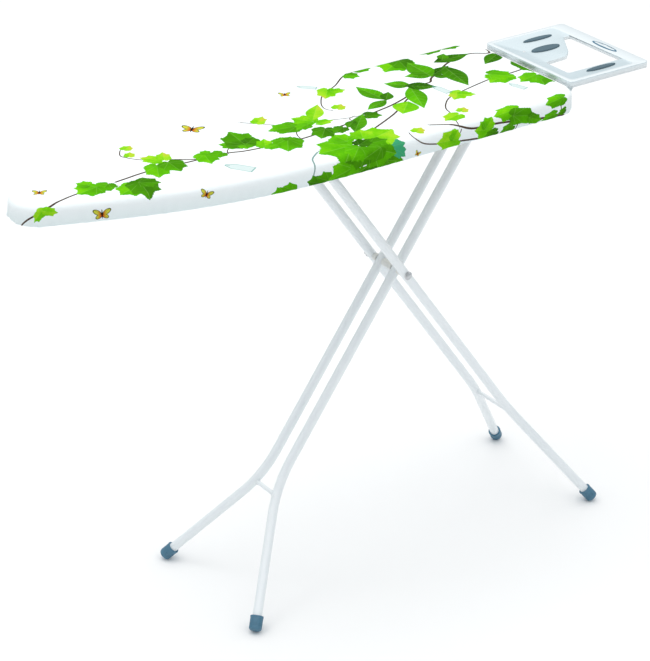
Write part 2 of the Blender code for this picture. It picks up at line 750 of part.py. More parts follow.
def make_hinge_rod(hinged):
    """Rod that the inner legs hang on, with a head at each end outside the bracket's ears."""
    ear = hinge_ear + bracket_wall + gap
    flare = hinge_rod_flare
    head = hinge_rod_radius + flare
    edge = head - hinge_rod_chamfer
    profile = [(0, -flare), (edge, -flare), (head, 0), (hinge_rod_radius, 0), (hinge_rod_radius, 2 * ear),
               (head, 2 * ear), (edge, 2 * ear + flare), (0, 2 * ear + flare)]
    turned("hinge_rod", profile, galvanised, (0, -ear, upper_length), (0, 1, 0), hinged)
    collar = hinge_collar - 2 * gap
    for name, start in (("near", -inner_half_gap - tube_radius - gap - collar),
                        ("far", inner_half_gap + tube_radius + gap)):
        ring_piece(f"hinge_washer_{name}", hinge_rod_radius + bolt_clearance, hinge_collar_radius,
                   (0, start, upper_length), collar, nylon, hinged)


def make_slide_axle(sliding):
    """Axle through the tops of the outer legs, with a glide on each end."""
    end = rail_y - axle_inset
    rod("slide_axle", slide_axle_radius, (0, -end, upper_length), (0, end, upper_length), galvanised, sliding)
    inner = rail_y - glide_inset - glide_width
    for name, start in (("near", -inner - glide_width), ("far", inner)):
        ring_piece(f"glide_{name}", slide_axle_radius + gap, glide_radius, (0, start, upper_length),
                   glide_width, nylon, sliding, 20)


# ---- height lever, modelled locked and turned to its squeezed rest by its empty ----
def make_lever(axis):
    shaft_start = stay_places["stay_front"] - shaft_overrun - crossing_x
    shaft_end = arm_from_crossing + arm_width
    rod("lever_shaft", lever_radius, (shaft_start, 0, 0), (shaft_end, 0, 0), galvanised, axis)
    wall = sheet_wall
    tip = axle_height - tooth_depth - (working_height - lever_drop)
    root = axle_height + slide_axle_radius + notch_clearance - (working_height - lever_drop)
    half = slide_axle_radius + notch_clearance
    first = slide_x - crossing_x
    lower = [(first + half + comb_tooth, tip)]
    for k in range(comb_notches):
        centre = first - k * notch_pitch
        slot = [(centre + half, tip), (centre + half, root - half * 0.5), (centre + half * 0.5, root),
                (centre - half * 0.5, root), (centre - half, root - half * 0.5), (centre - half, tip)]
        lower += slot
    lower.append((first - (comb_notches - 1) * notch_pitch - half - comb_tooth, tip))
    upper = [(lower[-1][0], wall / 2), (lower[0][0], wall / 2)]
    points = [(x, -lever_y - wall / 2, z) for x, z in lower + upper]
    comb = prism("lever_comb", points, (0, wall, 0), galvanised, axis)
    flange = [(lower[-1][0], -lever_y - wall / 2, -wall / 2), (lower[0][0], -lever_y - wall / 2, -wall / 2),
              (lower[0][0], -lever_radius - gap, -wall / 2), (lower[-1][0], -lever_radius - gap, -wall / 2)]
    boolean(comb, prism("lever_comb_flange", flange, (0, 0, wall), galvanised, axis), "UNION")
    arm_tip = arm_side - grip_reach
    bend = [(-lever_radius - gap, 0), (-arm_knee[0], -arm_knee[1]), (arm_tip, -grip_drop)]
    strip = bend + [(y, z - wall) for y, z in bend[::-1]]
    prism("lever_arm", [(arm_from_crossing - arm_width / 2, y, z + wall / 2) for y, z in strip],
          (arm_width, 0, 0), galvanised, axis)
    # the grip is a bar with a slot for the arm's end
    x0 = arm_from_crossing - grip_length / 2
    x1 = arm_from_crossing + grip_length / 2
    rings = []
    stations = ((grip_round, -grip_front), (0, grip_round - grip_front), (0, grip_front + grip_round),
                (grip_round, grip_back))
    for shrink, y in stations:
        height = grip_height / 2 - shrink
        ring = rounded(x0 + shrink, x1 - shrink, -height, height, grip_corner, 0)
        rings.append([(x, y - grip_reach, z - grip_drop) for x, z, _ in ring])
    grip = lofted("lever_grip", rings, grip_plastic, axis)
    slope = (grip_drop - arm_knee[1]) / (-arm_tip - arm_knee[0])
    # the slot runs along the arm, from just outside the grip to past the arm's end
    outside = 0.004
    thick = wall / 2 + 0.0004
    mouth, bottom = arm_tip + outside, arm_tip + outside - grip_socket - 0.005
    slot = [(y, (y - arm_tip) * slope - grip_drop + lift)
            for y, lift in ((mouth, thick), (bottom, thick), (bottom, -thick), (mouth, -thick))]
    cutter = prism("lever_grip_slot", [(arm_from_crossing - arm_width / 2 - gap, y, z) for y, z in slot],
                   (arm_width + 2 * gap, 0, 0), grip_plastic, axis)
    boolean(grip, cutter)


def build():
    make_cover()
    make_core()
    make_rim()
    for name, x in stay_places.items():
        make_stay(name, x)
    make_rails()
    make_hinge_bracket()
    make_lever_bracket("lever_bracket_front", stay_places["stay_front"])
    make_lever_bracket("lever_bracket_rear", stay_places["stay_middle"])
    make_lever_spring()
    make_tray()
    middle = tray_x + tray_length / 2
    make_pad("rest_pad_far", middle, tray_half - far_pad_inset, narrow_pad)
    make_pad("rest_pad_wide", middle - 0.021, wide_pad_y, wide_pad)
    make_pad("rest_pad_near", middle, near_pad_inset - tray_half, narrow_pad)
    make_rest_arms()

    hinged = empty("hinged_leg_axis", (hinge_x, 0, axle_height), (0, leg_lean, 0))
    hinged_crossing = empty("hinged_leg_crossing", (0, 0, -upper_length), (0, 0, 0), hinged)
    sliding = empty("sliding_leg_axis", (0, 0, 0), (0, -2 * leg_lean, 0), hinged_crossing)
    make_leg("hinged", hinged_crossing, inner_half_gap, inner_splay, inner_bend_height, hinge_rod_radius)
    make_leg("sliding", sliding, outer_half_gap, outer_splay, outer_bend_height, slide_axle_radius)
    make_crossing(hinged_crossing, sliding)
    make_hinge_rod(hinged_crossing)
    make_slide_axle(sliding)

    lever = empty("height_lever_axis", (crossing_x, lever_y, working_height - lever_drop),
                  (-lever_squeeze, 0, 0))
    make_lever(lever)
    print(f"hinge ({hinge_x:.5f}, 0, {axle_height:.5f}), crossing ({crossing_x:.5f}, 0, {crossing_height:.5f})")
    print(f"fold range {degrees(pi / 2 - fold_rest - leg_lean):.3f} degrees, slide axle at {slide_x:.5f}")


build()
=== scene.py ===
import json
from math import asin, atan2, cos, hypot, pi, radians, sin, tan

import bmesh
import bpy
import numpy as np
from mathutils import Matrix, Vector
from mathutils.geometry import interpolate_bezier


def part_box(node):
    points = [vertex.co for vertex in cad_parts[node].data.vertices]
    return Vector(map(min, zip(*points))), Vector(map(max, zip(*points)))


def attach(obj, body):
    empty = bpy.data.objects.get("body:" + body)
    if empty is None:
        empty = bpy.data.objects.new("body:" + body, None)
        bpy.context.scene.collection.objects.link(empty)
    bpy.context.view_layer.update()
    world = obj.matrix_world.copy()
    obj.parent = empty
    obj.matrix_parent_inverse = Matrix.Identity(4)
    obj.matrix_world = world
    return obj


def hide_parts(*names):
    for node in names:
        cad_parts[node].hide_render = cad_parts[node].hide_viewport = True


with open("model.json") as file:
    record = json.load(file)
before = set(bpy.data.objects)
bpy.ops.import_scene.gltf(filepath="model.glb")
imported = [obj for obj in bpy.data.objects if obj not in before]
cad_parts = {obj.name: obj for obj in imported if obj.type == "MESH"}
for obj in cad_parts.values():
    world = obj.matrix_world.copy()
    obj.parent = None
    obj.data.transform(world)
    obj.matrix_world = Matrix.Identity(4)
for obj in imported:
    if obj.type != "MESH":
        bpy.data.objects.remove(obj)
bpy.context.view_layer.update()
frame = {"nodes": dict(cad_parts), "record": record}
joints = {joint["name"]: joint for joint in frame["record"]["behaviour"]["joints"]}
print("frame loaded")

# camera and light
camera = {
    "place": (-2.3541, -3.2714, 2.5612),
    "target": (-0.0098, 0.0, 0.4864),
    "roll": radians(0.3893),
    "lens": 132.08,
}
light = {
    "floor": (0.93, 0.93, 0.93),
    "floorSize": 60,
    "zenith": (1.0, 1.0, 1.0),
    "horizon": (0.02, 0.07, 0.10),
    "skyStrength": 1.34,
    "skyRamp": (0.10, 0.80),
    "key": (44, 3.0, (-0.8, 0.4, 4.4)),     # power, size and place
    "fill": (5, 4.0, (3.4, -3.6, 2.6)),
    "aim": (0, 0, 0.5),
}


def placed(name, data):
    made = bpy.data.objects.new(name, data)
    bpy.context.scene.collection.objects.link(made)
    return made


def aimed(place, target):
    turn = (Vector(target) - Vector(place)).to_track_quat("-Z", "Y").to_matrix().to_4x4()
    return Matrix.Translation(place) @ turn


def addCamera():
    lens = bpy.data.cameras.new("camera")
    lens.lens = camera["lens"]
    lens.clip_end = 200
    eye = placed("camera", lens)
    eye.matrix_world = aimed(camera["place"], camera["target"]) @ Matrix.Rotation(camera["roll"], 4, "Z")
    bpy.context.scene.camera = eye


def addLamp(name, power, size, place):
    lamp = bpy.data.lights.new(name, "AREA")
    lamp.energy = power
    lamp.size = size
    placed(name, lamp).matrix_world = aimed(place, light["aim"])


addCamera()
addLamp("key", *light["key"])
addLamp("fill", *light["fill"])
bpy.context.scene.view_settings.view_transform = "Standard"
print("camera and lamps placed")


# a socket that sums, products and comparisons can be written with
class Wire:
    def __init__(self, finish, socket):
        self.finish = finish
        self.socket = socket

    def maths(self, operation, *others):
        values = {k: value for k, value in enumerate((self, *others))}
        return self.finish.node("ShaderNodeMath", {"operation": operation}, values)

    def __add__(self, other): return self.maths("ADD", other)
    def __sub__(self, other): return self.maths("SUBTRACT", other)
    def __mul__(self, other): return self.maths("MULTIPLY", other)
    def __truediv__(self, other): return self.maths("DIVIDE", other)
    def __pow__(self, other): return self.maths("POWER", other)
    def __gt__(self, other): return self.maths("GREATER_THAN", other)
    def __lt__(self, other): return self.maths("LESS_THAN", other)
    def __rsub__(self, other): return self.finish.number(other).maths("SUBTRACT", self)
    def __rtruediv__(self, other): return self.finish.number(other).maths("DIVIDE", self)
    def __neg__(self): return self * -1
    def __abs__(self): return self.maths("ABSOLUTE")
    __radd__ = __add__
    __rmul__ = __mul__

    def clamped(self):
        made = self * 1.0
        made.socket.node.use_clamp = True
        return made


# one material: its shader's fixed values, and the nodes that vary it
class Finish:
    def __init__(self, name, **fixed):
        self.material = bpy.data.materials.new(name)
        self.material.use_nodes = True
        self.nodes = self.material.node_tree.nodes
        self.links = self.material.node_tree.links
        self.shader = self.nodes["Principled BSDF"]
        for socket, value in fixed.items():
            self.shader.inputs[socket.replace("_", " ")].default_value = value

    def put(self, socket, value):
        if isinstance(value, Wire):
            self.links.new(value.socket, socket)
        elif isinstance(value, tuple) and socket.type == "RGBA":
            socket.default_value = (*value[:3], 1.0)
        else:
            socket.default_value = value

    def node(self, kind, settings, sockets, output=0):
        made = self.nodes.new(kind)
        for name, value in settings.items():
            if name == "stops":
                ramp = made.color_ramp.elements
                while len(ramp) < len(value):
                    ramp.new(1.0)
                for stop, (position, colour) in zip(ramp, value):
                    stop.position = position
                    stop.color = (*colour, 1.0)
            elif name == "points":
                curve = made.mapping.curves[0]
                while len(curve.points) < len(value):
                    curve.points.new(0.5, 0.5)
                for point, (x, y, handle) in zip(curve.points, value):
                    point.location = (x, y)
                    point.handle_type = handle
                made.mapping.update()
            else:
                setattr(made, name, value)
        for name, value in sockets.items():
            self.put(made.inputs[name], value)
        return Wire(self, made.outputs[output])

    def apart(self, vector):
        made = self.node("ShaderNodeSeparateXYZ", {}, {0: vector})
        return [Wire(self, output) for output in made.socket.node.outputs]

    def number(self, value):
        return self.node("ShaderNodeMath", {"operation": "ADD"}, {0: value, 1: 0.0})

    def mixed(self, factor, first, second, blend="MIX"):
        settings = {"data_type": "RGBA", "blend_type": blend}
        return self.node("ShaderNodeMix", settings, {0: factor, 6: first, 7: second}, 2)

    def noise(self, scale, detail=3.0, place=None, **more):
        place = place or self.place()
        sockets = {"Vector": place, "Scale": scale, "Detail": detail, **more}
        return self.node("ShaderNodeTexNoise", {}, sockets, "Fac")

    def place(self):
        return self.node("ShaderNodeTexCoord", {}, {}, "Object")

    def bump(self, height, distance, strength=1.0, normal=None):
        sockets = {"Height": height, "Distance": distance, "Strength": strength}
        if normal:
            sockets["Normal"] = normal
        return self.node("ShaderNodeBump", {}, sockets)

    def vary(self, **inputs):
        for socket, value in inputs.items():
            self.put(self.shader.inputs[socket.replace("_", " ")], value)
        return self.material


def makeFloor():
    finish = Finish("paleFloor", Roughness=0.85)
    shade = finish.noise(0.7, 2.0)
    colour = finish.mixed(shade, light["floor"], tuple(0.985 * part for part in light["floor"]))
    bm = bmesh.new()
    bmesh.ops.create_grid(bm, x_segments=1, y_segments=1, size=light["floorSize"] / 2)
    mesh = bpy.data.meshes.new("floor")
    bm.to_mesh(mesh)
    mesh.materials.append(finish.vary(Base_Color=colour))
    placed("floor", mesh)


def makeSky():
    world = bpy.data.worlds.new("softSky")
    bpy.context.scene.world = world
    world.use_nodes = True
    nodes, links = world.node_tree.nodes, world.node_tree.links
    ramp = nodes.new("ShaderNodeValToRGB")
    for stop, position, colour in zip(ramp.color_ramp.elements, light["skyRamp"], ("horizon", "zenith")):
        stop.position = position
        stop.color = (*light[colour], 1)
    apart = nodes.new("ShaderNodeSeparateXYZ")
    links.new(nodes.new("ShaderNodeTexCoord").outputs["Generated"], apart.inputs[0])
    links.new(apart.outputs["Z"], ramp.inputs["Fac"])
    back = nodes["Background"]
    links.new(ramp.outputs["Color"], back.inputs["Color"])
    back.inputs["Strength"].default_value = light["skyStrength"]


makeFloor()
makeSky()
print("floor and sky made")


# finishes
def paintFinish():
    finish = Finish("whitePowderCoat", Coat_Roughness=0.10, Coat_Weight=0.5)
    cloud = finish.noise(9.0, 4.0)
    speck = finish.noise(420.0, 2.0)
    peel = finish.noise(900.0, 1.5)
    colour = finish.mixed(cloud, (0.84, 0.885, 0.91), (0.89, 0.92, 0.935))
    colour = finish.mixed((speck - 0.68) * 4.0, colour, (0.72, 0.76, 0.79))
    scuffs = finish.noise(34.0, 6.0, Distortion=1.5)
    rough = 0.24 + scuffs * 0.16 + cloud * 0.05
    return finish.vary(Base_Color=colour, Roughness=rough, Normal=finish.bump(peel, 0.00012, 0.6))


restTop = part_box("rest_tray")[1][2]


def enamelFinish():
    finish = Finish("whiteEnamel", Coat_Weight=0.6, Coat_Roughness=0.06)
    cloud = finish.noise(14.0, 3.0)
    wave = finish.noise(260.0, 1.0)
    scorch = finish.noise(22.0, 5.0, Distortion=0.6)
    height = finish.apart(finish.place())[2]
    colour = finish.mixed(cloud, (0.60, 0.70, 0.74), (0.66, 0.75, 0.78))
    # painted highlight: the flat border round the sunk panel is mixed lighter than the panel, as if it caught
    # more light
    border = (abs(height - restTop + 0.0013) * 1600.0 - 0.4).clamped()
    colour = finish.mixed(border, colour, (0.77, 0.825, 0.845))
    colour = finish.mixed((scorch - 0.66) * 1.6, colour, (0.70, 0.70, 0.66))
    return finish.vary(Base_Color=colour, Roughness=0.22 + scorch * 0.14,
                       Normal=finish.bump(wave, 0.00010, 0.35))


def zincFinish():
    finish = Finish("zincPlatedSteel", Metallic=0.92)
    grain = finish.node("ShaderNodeTexVoronoi", {"feature": "F1"},
                        {"Vector": finish.place(), "Scale": 190.0}, "Color")
    tone = finish.node("ShaderNodeSeparateColor", {}, {0: grain}, 0)
    scratch = finish.noise(700.0, 3.0)
    colour = finish.mixed(tone, (0.50, 0.52, 0.54), (0.68, 0.69, 0.70))
    rough = 0.28 + tone * 0.10 + scratch * 0.14
    return finish.vary(Base_Color=colour, Roughness=rough, Normal=finish.bump(scratch, 0.00006, 0.5))


def plasticFinish(name, dark, pale, roughness, grainScale=1400.0, gloss=0.45):
    finish = Finish(name, Specular_IOR_Level=gloss)
    cloud = finish.noise(30.0, 3.0)
    grain = finish.noise(grainScale, 1.0)
    scuff = finish.noise(110.0, 6.0, Distortion=2.0)
    colour = finish.mixed(cloud, dark, pale)
    colour = finish.mixed((scuff - 0.62) * 2.0, colour, tuple(0.6 * part + 0.12 for part in pale))
    rough = roughness + cloud * 0.08 + scuff * 0.12
    return finish.vary(Base_Color=colour, Roughness=rough, Normal=finish.bump(grain, 0.00009, 0.6))


def foamFinish():
    finish = Finish("creamFoam", Roughness=0.95)
    cells = finish.node("ShaderNodeTexVoronoi", {"feature": "F1"},
                        {"Vector": finish.place(), "Scale": 900.0}, "Distance")
    colour = finish.mixed(cells, (0.93, 0.90, 0.80), (0.74, 0.70, 0.58))
    return finish.vary(Base_Color=colour, Normal=finish.bump(cells, 0.0006, 0.8))


finishes = {
    "paint": paintFinish(),
    "enamel": enamelFinish(),
    "zinc": zincFinish(),
    "slate": plasticFinish("slatePlastic", (0.055, 0.155, 0.240), (0.085, 0.210, 0.305), 0.38),
    "nylon": plasticFinish("whiteNylon", (0.76, 0.76, 0.72), (0.84, 0.84, 0.81), 0.34),
    "silicone": plasticFinish("slateSilicone", (0.085, 0.135, 0.165), (0.110, 0.170, 0.205),
                              0.62, 2200.0, 0.15),
    "foam": foamFinish(),
}
print("finishes mixed")


# modelling helpers
def keep(name, bm, finish, body, replaces=(), sharpAngle=38, tidy=True):
    if tidy:
        bmesh.ops.remove_doubles(bm, verts=bm.verts[:], dist=1e-6)
        bmesh.ops.recalc_face_normals(bm, faces=bm.faces[:])
        if bm.calc_volume(signed=True) < 0:
            bmesh.ops.reverse_faces(bm, faces=bm.faces[:])
    mesh = bpy.data.meshes.new(name)
    bm.to_mesh(mesh)
    bm.free()
    mesh.materials.append(finishes[finish])
    mesh.shade_smooth()
    mesh.set_sharp_from_angle(angle=radians(sharpAngle))
    piece = placed(name, mesh)
    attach(piece, body)
    if replaces:
        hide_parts(*replaces)
    return piece


def thicken(piece, wall):
    solid = piece.modifiers.new("wall", "SOLIDIFY")
    solid.thickness = wall
    solid.offset = -1


def faceUp(bm, key):
    # the normals outward, judged by the face that the key picks
    bmesh.ops.recalc_face_normals(bm, faces=bm.faces[:])
    if max(bm.faces, key=key).normal.z < 0:
        bmesh.ops.reverse_faces(bm, faces=bm.faces[:])


def creases(bm, angle):
    return [line for line in bm.edges if len(line.link_faces) == 2 and line.calc_face_angle() > radians(angle)]


def eased(bm, geom, size, segments, clamp=True):
    bmesh.ops.bevel(bm, geom=geom, offset=size, affect="EDGES", segments=segments, profile=0.5, material=-1,
                    clamp_overlap=clamp)


def dome(radius, start, tall, steps):
    # a quarter ellipse from the line out to the radius
    turns = [pi / 2 * k / steps for k in range(steps + 1)]
    return [(radius * sin(turn), start + tall * (1 - cos(turn))) for turn in turns]


def middleOf(low, high):
    return (low[0] + high[0]) / 2, (low[1] + high[1]) / 2


def pulled(bm, edges, places):
    # one more row of faces, from a row of edges to the places worked out for its corners
    made = bmesh.ops.extrude_edge_only(bm, edges=edges)["geom"]
    for vert in made:
        if isinstance(vert, bmesh.types.BMVert):
            vert.co = places(vert)
    return [edge for edge in made if isinstance(edge, bmesh.types.BMEdge)]


def turned(profile, start, along, segments=48):
    # corners as (radius, distance from start), spun about a line
    bm = bmesh.new()
    corners = [bm.verts.new((radius, 0, distance)) for radius, distance in profile]
    edges = [bm.edges.new(pair) for pair in zip(corners, corners[1:])]
    if min(radius for radius, _ in profile) > 0:
        edges.append(bm.edges.new((corners[-1], corners[0])))
    bmesh.ops.spin(bm, geom=corners + edges, cent=(0, 0, 0), axis=(0, 0, 1), angle=2 * pi,
                   steps=segments, use_merge=True)
    turn = Vector(along).to_track_quat("Z", "Y").to_matrix().to_4x4()
    bm.transform(Matrix.Translation(Vector(start)) @ turn)
    return bm


def rounded(corners, steps=4):
    # the profile's corners of (radius, distance, rounding) as short arcs
    points = []
    for k, (radius, distance, size) in enumerate(corners):
        here = Vector((radius, distance))
        if not size:
            points.append((radius, distance))
            continue
        before = Vector(corners[k - 1][:2]) - here
        after = Vector(corners[(k + 1) % len(corners)][:2]) - here
        enter = here + before.normalized() * size
        leave = here + after.normalized() * size
        for step in range(steps + 1):
            share = step / steps
            point = enter * (1 - share) ** 2 + here * 2 * share * (1 - share) + leave * share ** 2
            points.append((point.x, point.y))
    return points


def swept(path, radius, segments=32, side=(1, 0, 0)):
    # a round bar along a path, closed at both ends
    bm = bmesh.new()
    bmesh.ops.create_circle(bm, segments=segments, radius=radius, cap_ends=True)
    frames = []
    for k, here in enumerate(path):
        run = (Vector(path[min(k + 1, len(path) - 1)]) - Vector(path[max(k - 1, 0)])).normalized()
        side = (Vector(side) - run * run.dot(Vector(side))).normalized()
        turn = Matrix((side, run.cross(side), run)).transposed().to_4x4()
        frames.append(Matrix.Translation(here) @ turn)
    bm.transform(frames[0])
    edges = bm.edges[:]
    for last, now in zip(frames, frames[1:]):
        move = now @ last.inverted()
        made = bmesh.ops.extrude_edge_only(bm, edges=edges)["geom"]
        ring = [vert for vert in made if isinstance(vert, bmesh.types.BMVert)]
        edges = [edge for edge in made if isinstance(edge, bmesh.types.BMEdge)]
        bmesh.ops.transform(bm, matrix=move, verts=ring)
    bmesh.ops.holes_fill(bm, edges=edges, sides=0)
    return bm


# board outline
board = {
    "noseRadius": 0.052,
    "noseSlope": radians(21),
    "taper": 0.600,
    "cornerRadius": 0.048,
}
coverLow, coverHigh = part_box("cover")
noseX, rearX = coverLow[0], coverHigh[0]
halfWidth = coverHigh[1]


def boardEdge():
    # one side from the nose tip to the middle of the wide end
    radius, slope = board["noseRadius"], board["noseSlope"]
    centre = noseX + radius
    arcSteps, flankSteps, cornerSteps = 24, 90, 20
    side = []
    for k in range(arcSteps):
        turn = pi - k / arcSteps * (pi / 2 - slope)
        side.append((centre + radius * cos(turn), radius * sin(turn)))
    begin = Vector((centre + radius * cos(pi / 2 + slope), radius * sin(pi / 2 + slope), 0))
    end = Vector((noseX + board["taper"], halfWidth, 0))
    reach = (end.x - begin.x) * 0.36
    leave = begin + reach * Vector((cos(slope), sin(slope), 0))
    arrive = end - Vector((reach * 1.25, 0, 0))
    side += [tuple(point[:2]) for point in interpolate_bezier(begin, leave, arrive, end, flankSteps)]
    corner = board["cornerRadius"]
    for k in range(cornerSteps + 1):
        turn = pi / 2 * (1 - k / cornerSteps)
        side.append((rearX - corner + corner * cos(turn), halfWidth - corner + corner * sin(turn)))
    return side + [(rearX, 0.0)]


edge = np.array(boardEdge())
edge = np.vstack([edge, edge[-2:0:-1] * (1, -1), edge[:1]])
edgeRun = np.hypot(*np.diff(edge, axis=0).T)
edgeAt = np.concatenate([[0], np.cumsum(edgeRun)])
perimeter = edgeAt[-1]


def edgePoint(distance):
    # a point on the outline and its outward normal, by the distance along it from the nose tip
    distance = np.asarray(distance) % perimeter
    x, y = np.interp(distance, edgeAt, edge[:, 0]), np.interp(distance, edgeAt, edge[:, 1])
    reach = 0.003
    ahead, behind = (distance + reach) % perimeter, (distance - reach) % perimeter
    runX = np.interp(ahead, edgeAt, edge[:, 0]) - np.interp(behind, edgeAt, edge[:, 0])
    runY = np.interp(ahead, edgeAt, edge[:, 1]) - np.interp(behind, edgeAt, edge[:, 1])
    length = np.hypot(runX, runY)
    return np.stack([x, y], -1), np.stack([-runY / length, runX / length], -1)


def boardGrid(bm, inset, height, columns, rows):
    # a grid whose four sides follow the outline, inset by a little
    quarter = {"nose": board["noseRadius"] * 1.1,
               "rear": perimeter / 2 - halfWidth + board["cornerRadius"] * (1 - pi / 4)}
    bmesh.ops.create_grid(bm, x_segments=columns, y_segments=rows, size=0.5)

    def along(start, stop, share):
        point, normal = edgePoint(start + (stop - start) * share)
        return point - normal * inset

    t = np.array([vert.co.x + 0.5 for vert in bm.verts])
    v = np.array([vert.co.y + 0.5 for vert in bm.verts])
    noseEnd, rearEnd = quarter["nose"], quarter["rear"]
    near = along(perimeter - noseEnd, perimeter - rearEnd, t)
    far = along(noseEnd, rearEnd, t)
    front = along(-noseEnd, noseEnd, v)
    back = along(perimeter - rearEnd, rearEnd, v)
    corners = [along(-noseEnd, 0, np.zeros(1)), along(noseEnd, 0, np.zeros(1)),
               along(perimeter - rearEnd, 0, np.zeros(1)), along(rearEnd, 0, np.zeros(1))]
    t, v = t[:, None], v[:, None]
    flat = (1 - v) * near + v * far + (1 - t) * front + t * back
    flat -= (1 - t) * ((1 - v) * corners[0] + v * corners[1]) + t * ((1 - v) * corners[2] + v * corners[3])
    for vert, (x, y) in zip(bm.verts, flat):
        vert.co = (x, y, height)


def markRim(bm, inset, count):
    # each vertex of the open edge keeps its distance along the outline
    layer = bm.verts.layers.float.new("at")
    rim = [line for line in bm.edges if line.is_boundary]
    dense = np.linspace(0, perimeter, count, endpoint=False)
    point, normal = edgePoint(dense)
    insetPoint = point - normal * inset
    for vert in {vert for line in rim for vert in line.verts}:
        vert[layer] = dense[np.hypot(*(insetPoint - (vert.co.x, vert.co.y)).T).argmin()]
    return rim, layer


def walled(bm, rim, layer, rows):
    # the edge drawn through rows of (inset, height)
    for inset, height in rows:
        def places(vert):
            spot, outward = edgePoint(vert[layer])
            return Vector((*(spot - outward * inset), height))
        rim = pulled(bm, rim, places)
    return rim


# printed leaves, as base and tip in millimetres from the nose tip and the middle line,
# then width for its length, and tone from dark to lime
ivyLeaves = (
    (441, -198, 410, -186, 1, 0.5), (458, -198, 434, -178, 0.9, 0.55), (512, -196, 482, -184, 0.9, 0.3),
    (532, -198, 502, -182, 1, 0.4), (585, -182, 525, -196, 0.9, 0.6), (620, -190, 560, -200, 0.8, 0.5),
    (650, -172, 590, -196, 1, 0.35), (645, -185, 690, -200, 0.9, 0.45), (668, -166, 692, -190, 0.8, 1.3),
    (654, -164, 694, -164, 0.8, 1.3), (610, -152, 672, -180, 1.1, 0.5), (622, -150, 560, -170, 1, 0.4),
    (640, -128, 704, -112, 1.2, 0.86), (632, -122, 655, -78, 1, 0.8), (612, -130, 530, -128, 1.15, 0.66),
    (605, -118, 600, -70, 1, 0.68), (612, -138, 575, -172, 1, 0.62), (625, -140, 670, -142, 0.9, 0.45),
    (648, -158, 602, -173, 0.9, 0.45), (608, -137, 642, -123, 1, 0.16), (36, -50, 4, -59, 0.6, 0.86),
    (30, -50, 53, -66, 0.62, 0.9), (172, -28, 138, -52, 1, 0.58), (152, -30, 102, -40, 1.15, 0.66),
    (140, -22, 124, 2, 1.1, 0.68), (212, -62, 160, -82, 1, 0.66), (218, -45, 200, -114, 0.85, 0.32),
    (208, -50, 244, -78, 0.9, 0.36), (280, -4, 250, -60, 0.8, 0.68), (300, -4, 296, -58, 0.95, 0.46),
    (296, -3, 268, 34, 0.8, 0.88), (296, -3, 314, 32, 0.75, 0.92), (402, -28, 372, -34, 1.1, 0.58),
    (370, -10, 356, -60, 0.9, 0.66), (376, -20, 368, -2, 1.2, 0.66), (440, -20, 412, 6, 1, 0.58),
    (448, -36, 459, 44, 0.85, 0.44), (455, -20, 482, -4, 1.1, 0.3), (450, -20, 442, -40, 1.3, 0.62),
    (470, -55, 492, -18, 0.8, 0.82), (530, -36, 494, -90, 0.95, 0.58), (500, -55, 466, -56, 0.8, 0.66),
    (522, -50, 536, -36, 1.2, 0.48), (516, 44, 548, 68, 0.75, 0.94), (580, -6, 515, 6, 0.8, 0.56),
    (610, -10, 584, 32, 1.1, 0.78), (604, -12, 642, -18, 0.7, 0.84), (595, -8, 562, -18, 0.9, 0.62),
    (612, -36, 574, -76, 0.9, 0.34), (640, -54, 606, -68, 0.9, 0.36), (698, -28, 728, -50, 0.95, 0.28),
    (724, 114, 688, 72, 0.75, 0.88), (712, 98, 746, 88, 0.8, 0.82), (786, 152, 806, 126, 1.1, 0.54),
    (810, 158, 850, 150, 0.7, 0.52), (930, 160, 856, 118, 0.9, 0.68), (918, 160, 900, 102, 0.85, 0.34),
    (1018, 162, 964, 154, 0.6, 0.52), (1016, 166, 1062, 148, 0.6, 0.4), (1046, -16, 984, -36, 0.9, 0.74),
    (1006, 6, 1046, -36, 0.9, 0.7), (920, -36, 878, -64, 0.8, 0.9), (900, -44, 930, -66, 0.7, 0.84),
    (1088, -48, 1062, -102, 1, 0.54), (1090, -50, 1034, -64, 0.8, 0.68), (1096, 30, 1088, -40, 0.5, 0.3),
    (848, -122, 802, -134, 0.8, 0.9), (852, -118, 872, -102, 1, 0.99), (726, -148, 750, -134, 1, 0.99),
    (675, 19, 698, 36, 1, 0.98), (262, 76, 284, 88, 1, 0.98), (254, 44, 268, 64, 0.9, 0.93),
    (815, -186, 760, -182, 0.8, 0.86), (796, -188, 810, -166, 1, 0.78), (890, -186, 846, -178, 0.9, 0.74),
    (868, -184, 890, -160, 1, 0.7), (902, -190, 868, -197, 0.55, 0.34), (940, -188, 905, -196, 0.55, 0.44),
    (958, -158, 892, -162, 0.58, 0.74), (926, -168, 992, -182, 0.54, 0.5), (968, -180, 1004, -194, 0.6, 0.5),
    (1042, -188, 1002, -196, 0.5, 0.56), (1068, -184, 1040, -192, 0.5, 0.38),
    (1066, -160, 1010, -167, 0.55, 0.66),
)
pointedLeaves = (
    (610, 2, 662, 60, 0.44, 0.9), (640, -84, 704, -22, 0.36, 0.44), (672, -40, 640, -62, 0.6, 0.3),
    (778, 6, 719, -14, 0.44, 0.44), (776, 6, 769, 92, 0.46, 0.52), (774, 4, 804, 36, 0.6, 0.22),
    (806, -22, 760, -66, 0.8, 0.8), (858, 36, 820, 74, 0.7, 0.5), (853, 36, 808, -68, 0.36, 0.6),
    (846, 44, 894, 4, 0.62, 0.14), (930, 60, 872, 80, 0.6, 0.5), (920, 52, 944, 30, 0.62, 0.24),
    (916, 54, 978, 78, 0.46, 0.18), (916, 49, 922, 136, 0.6, 0.5), (968, 84, 944, -26, 0.4, 0.3),
    (962, 106, 1050, 106, 0.42, 0.2), (985, 108, 1008, 134, 0.7, 0.4), (1104, 80, 1036, 44, 0.45, 0.24),
)
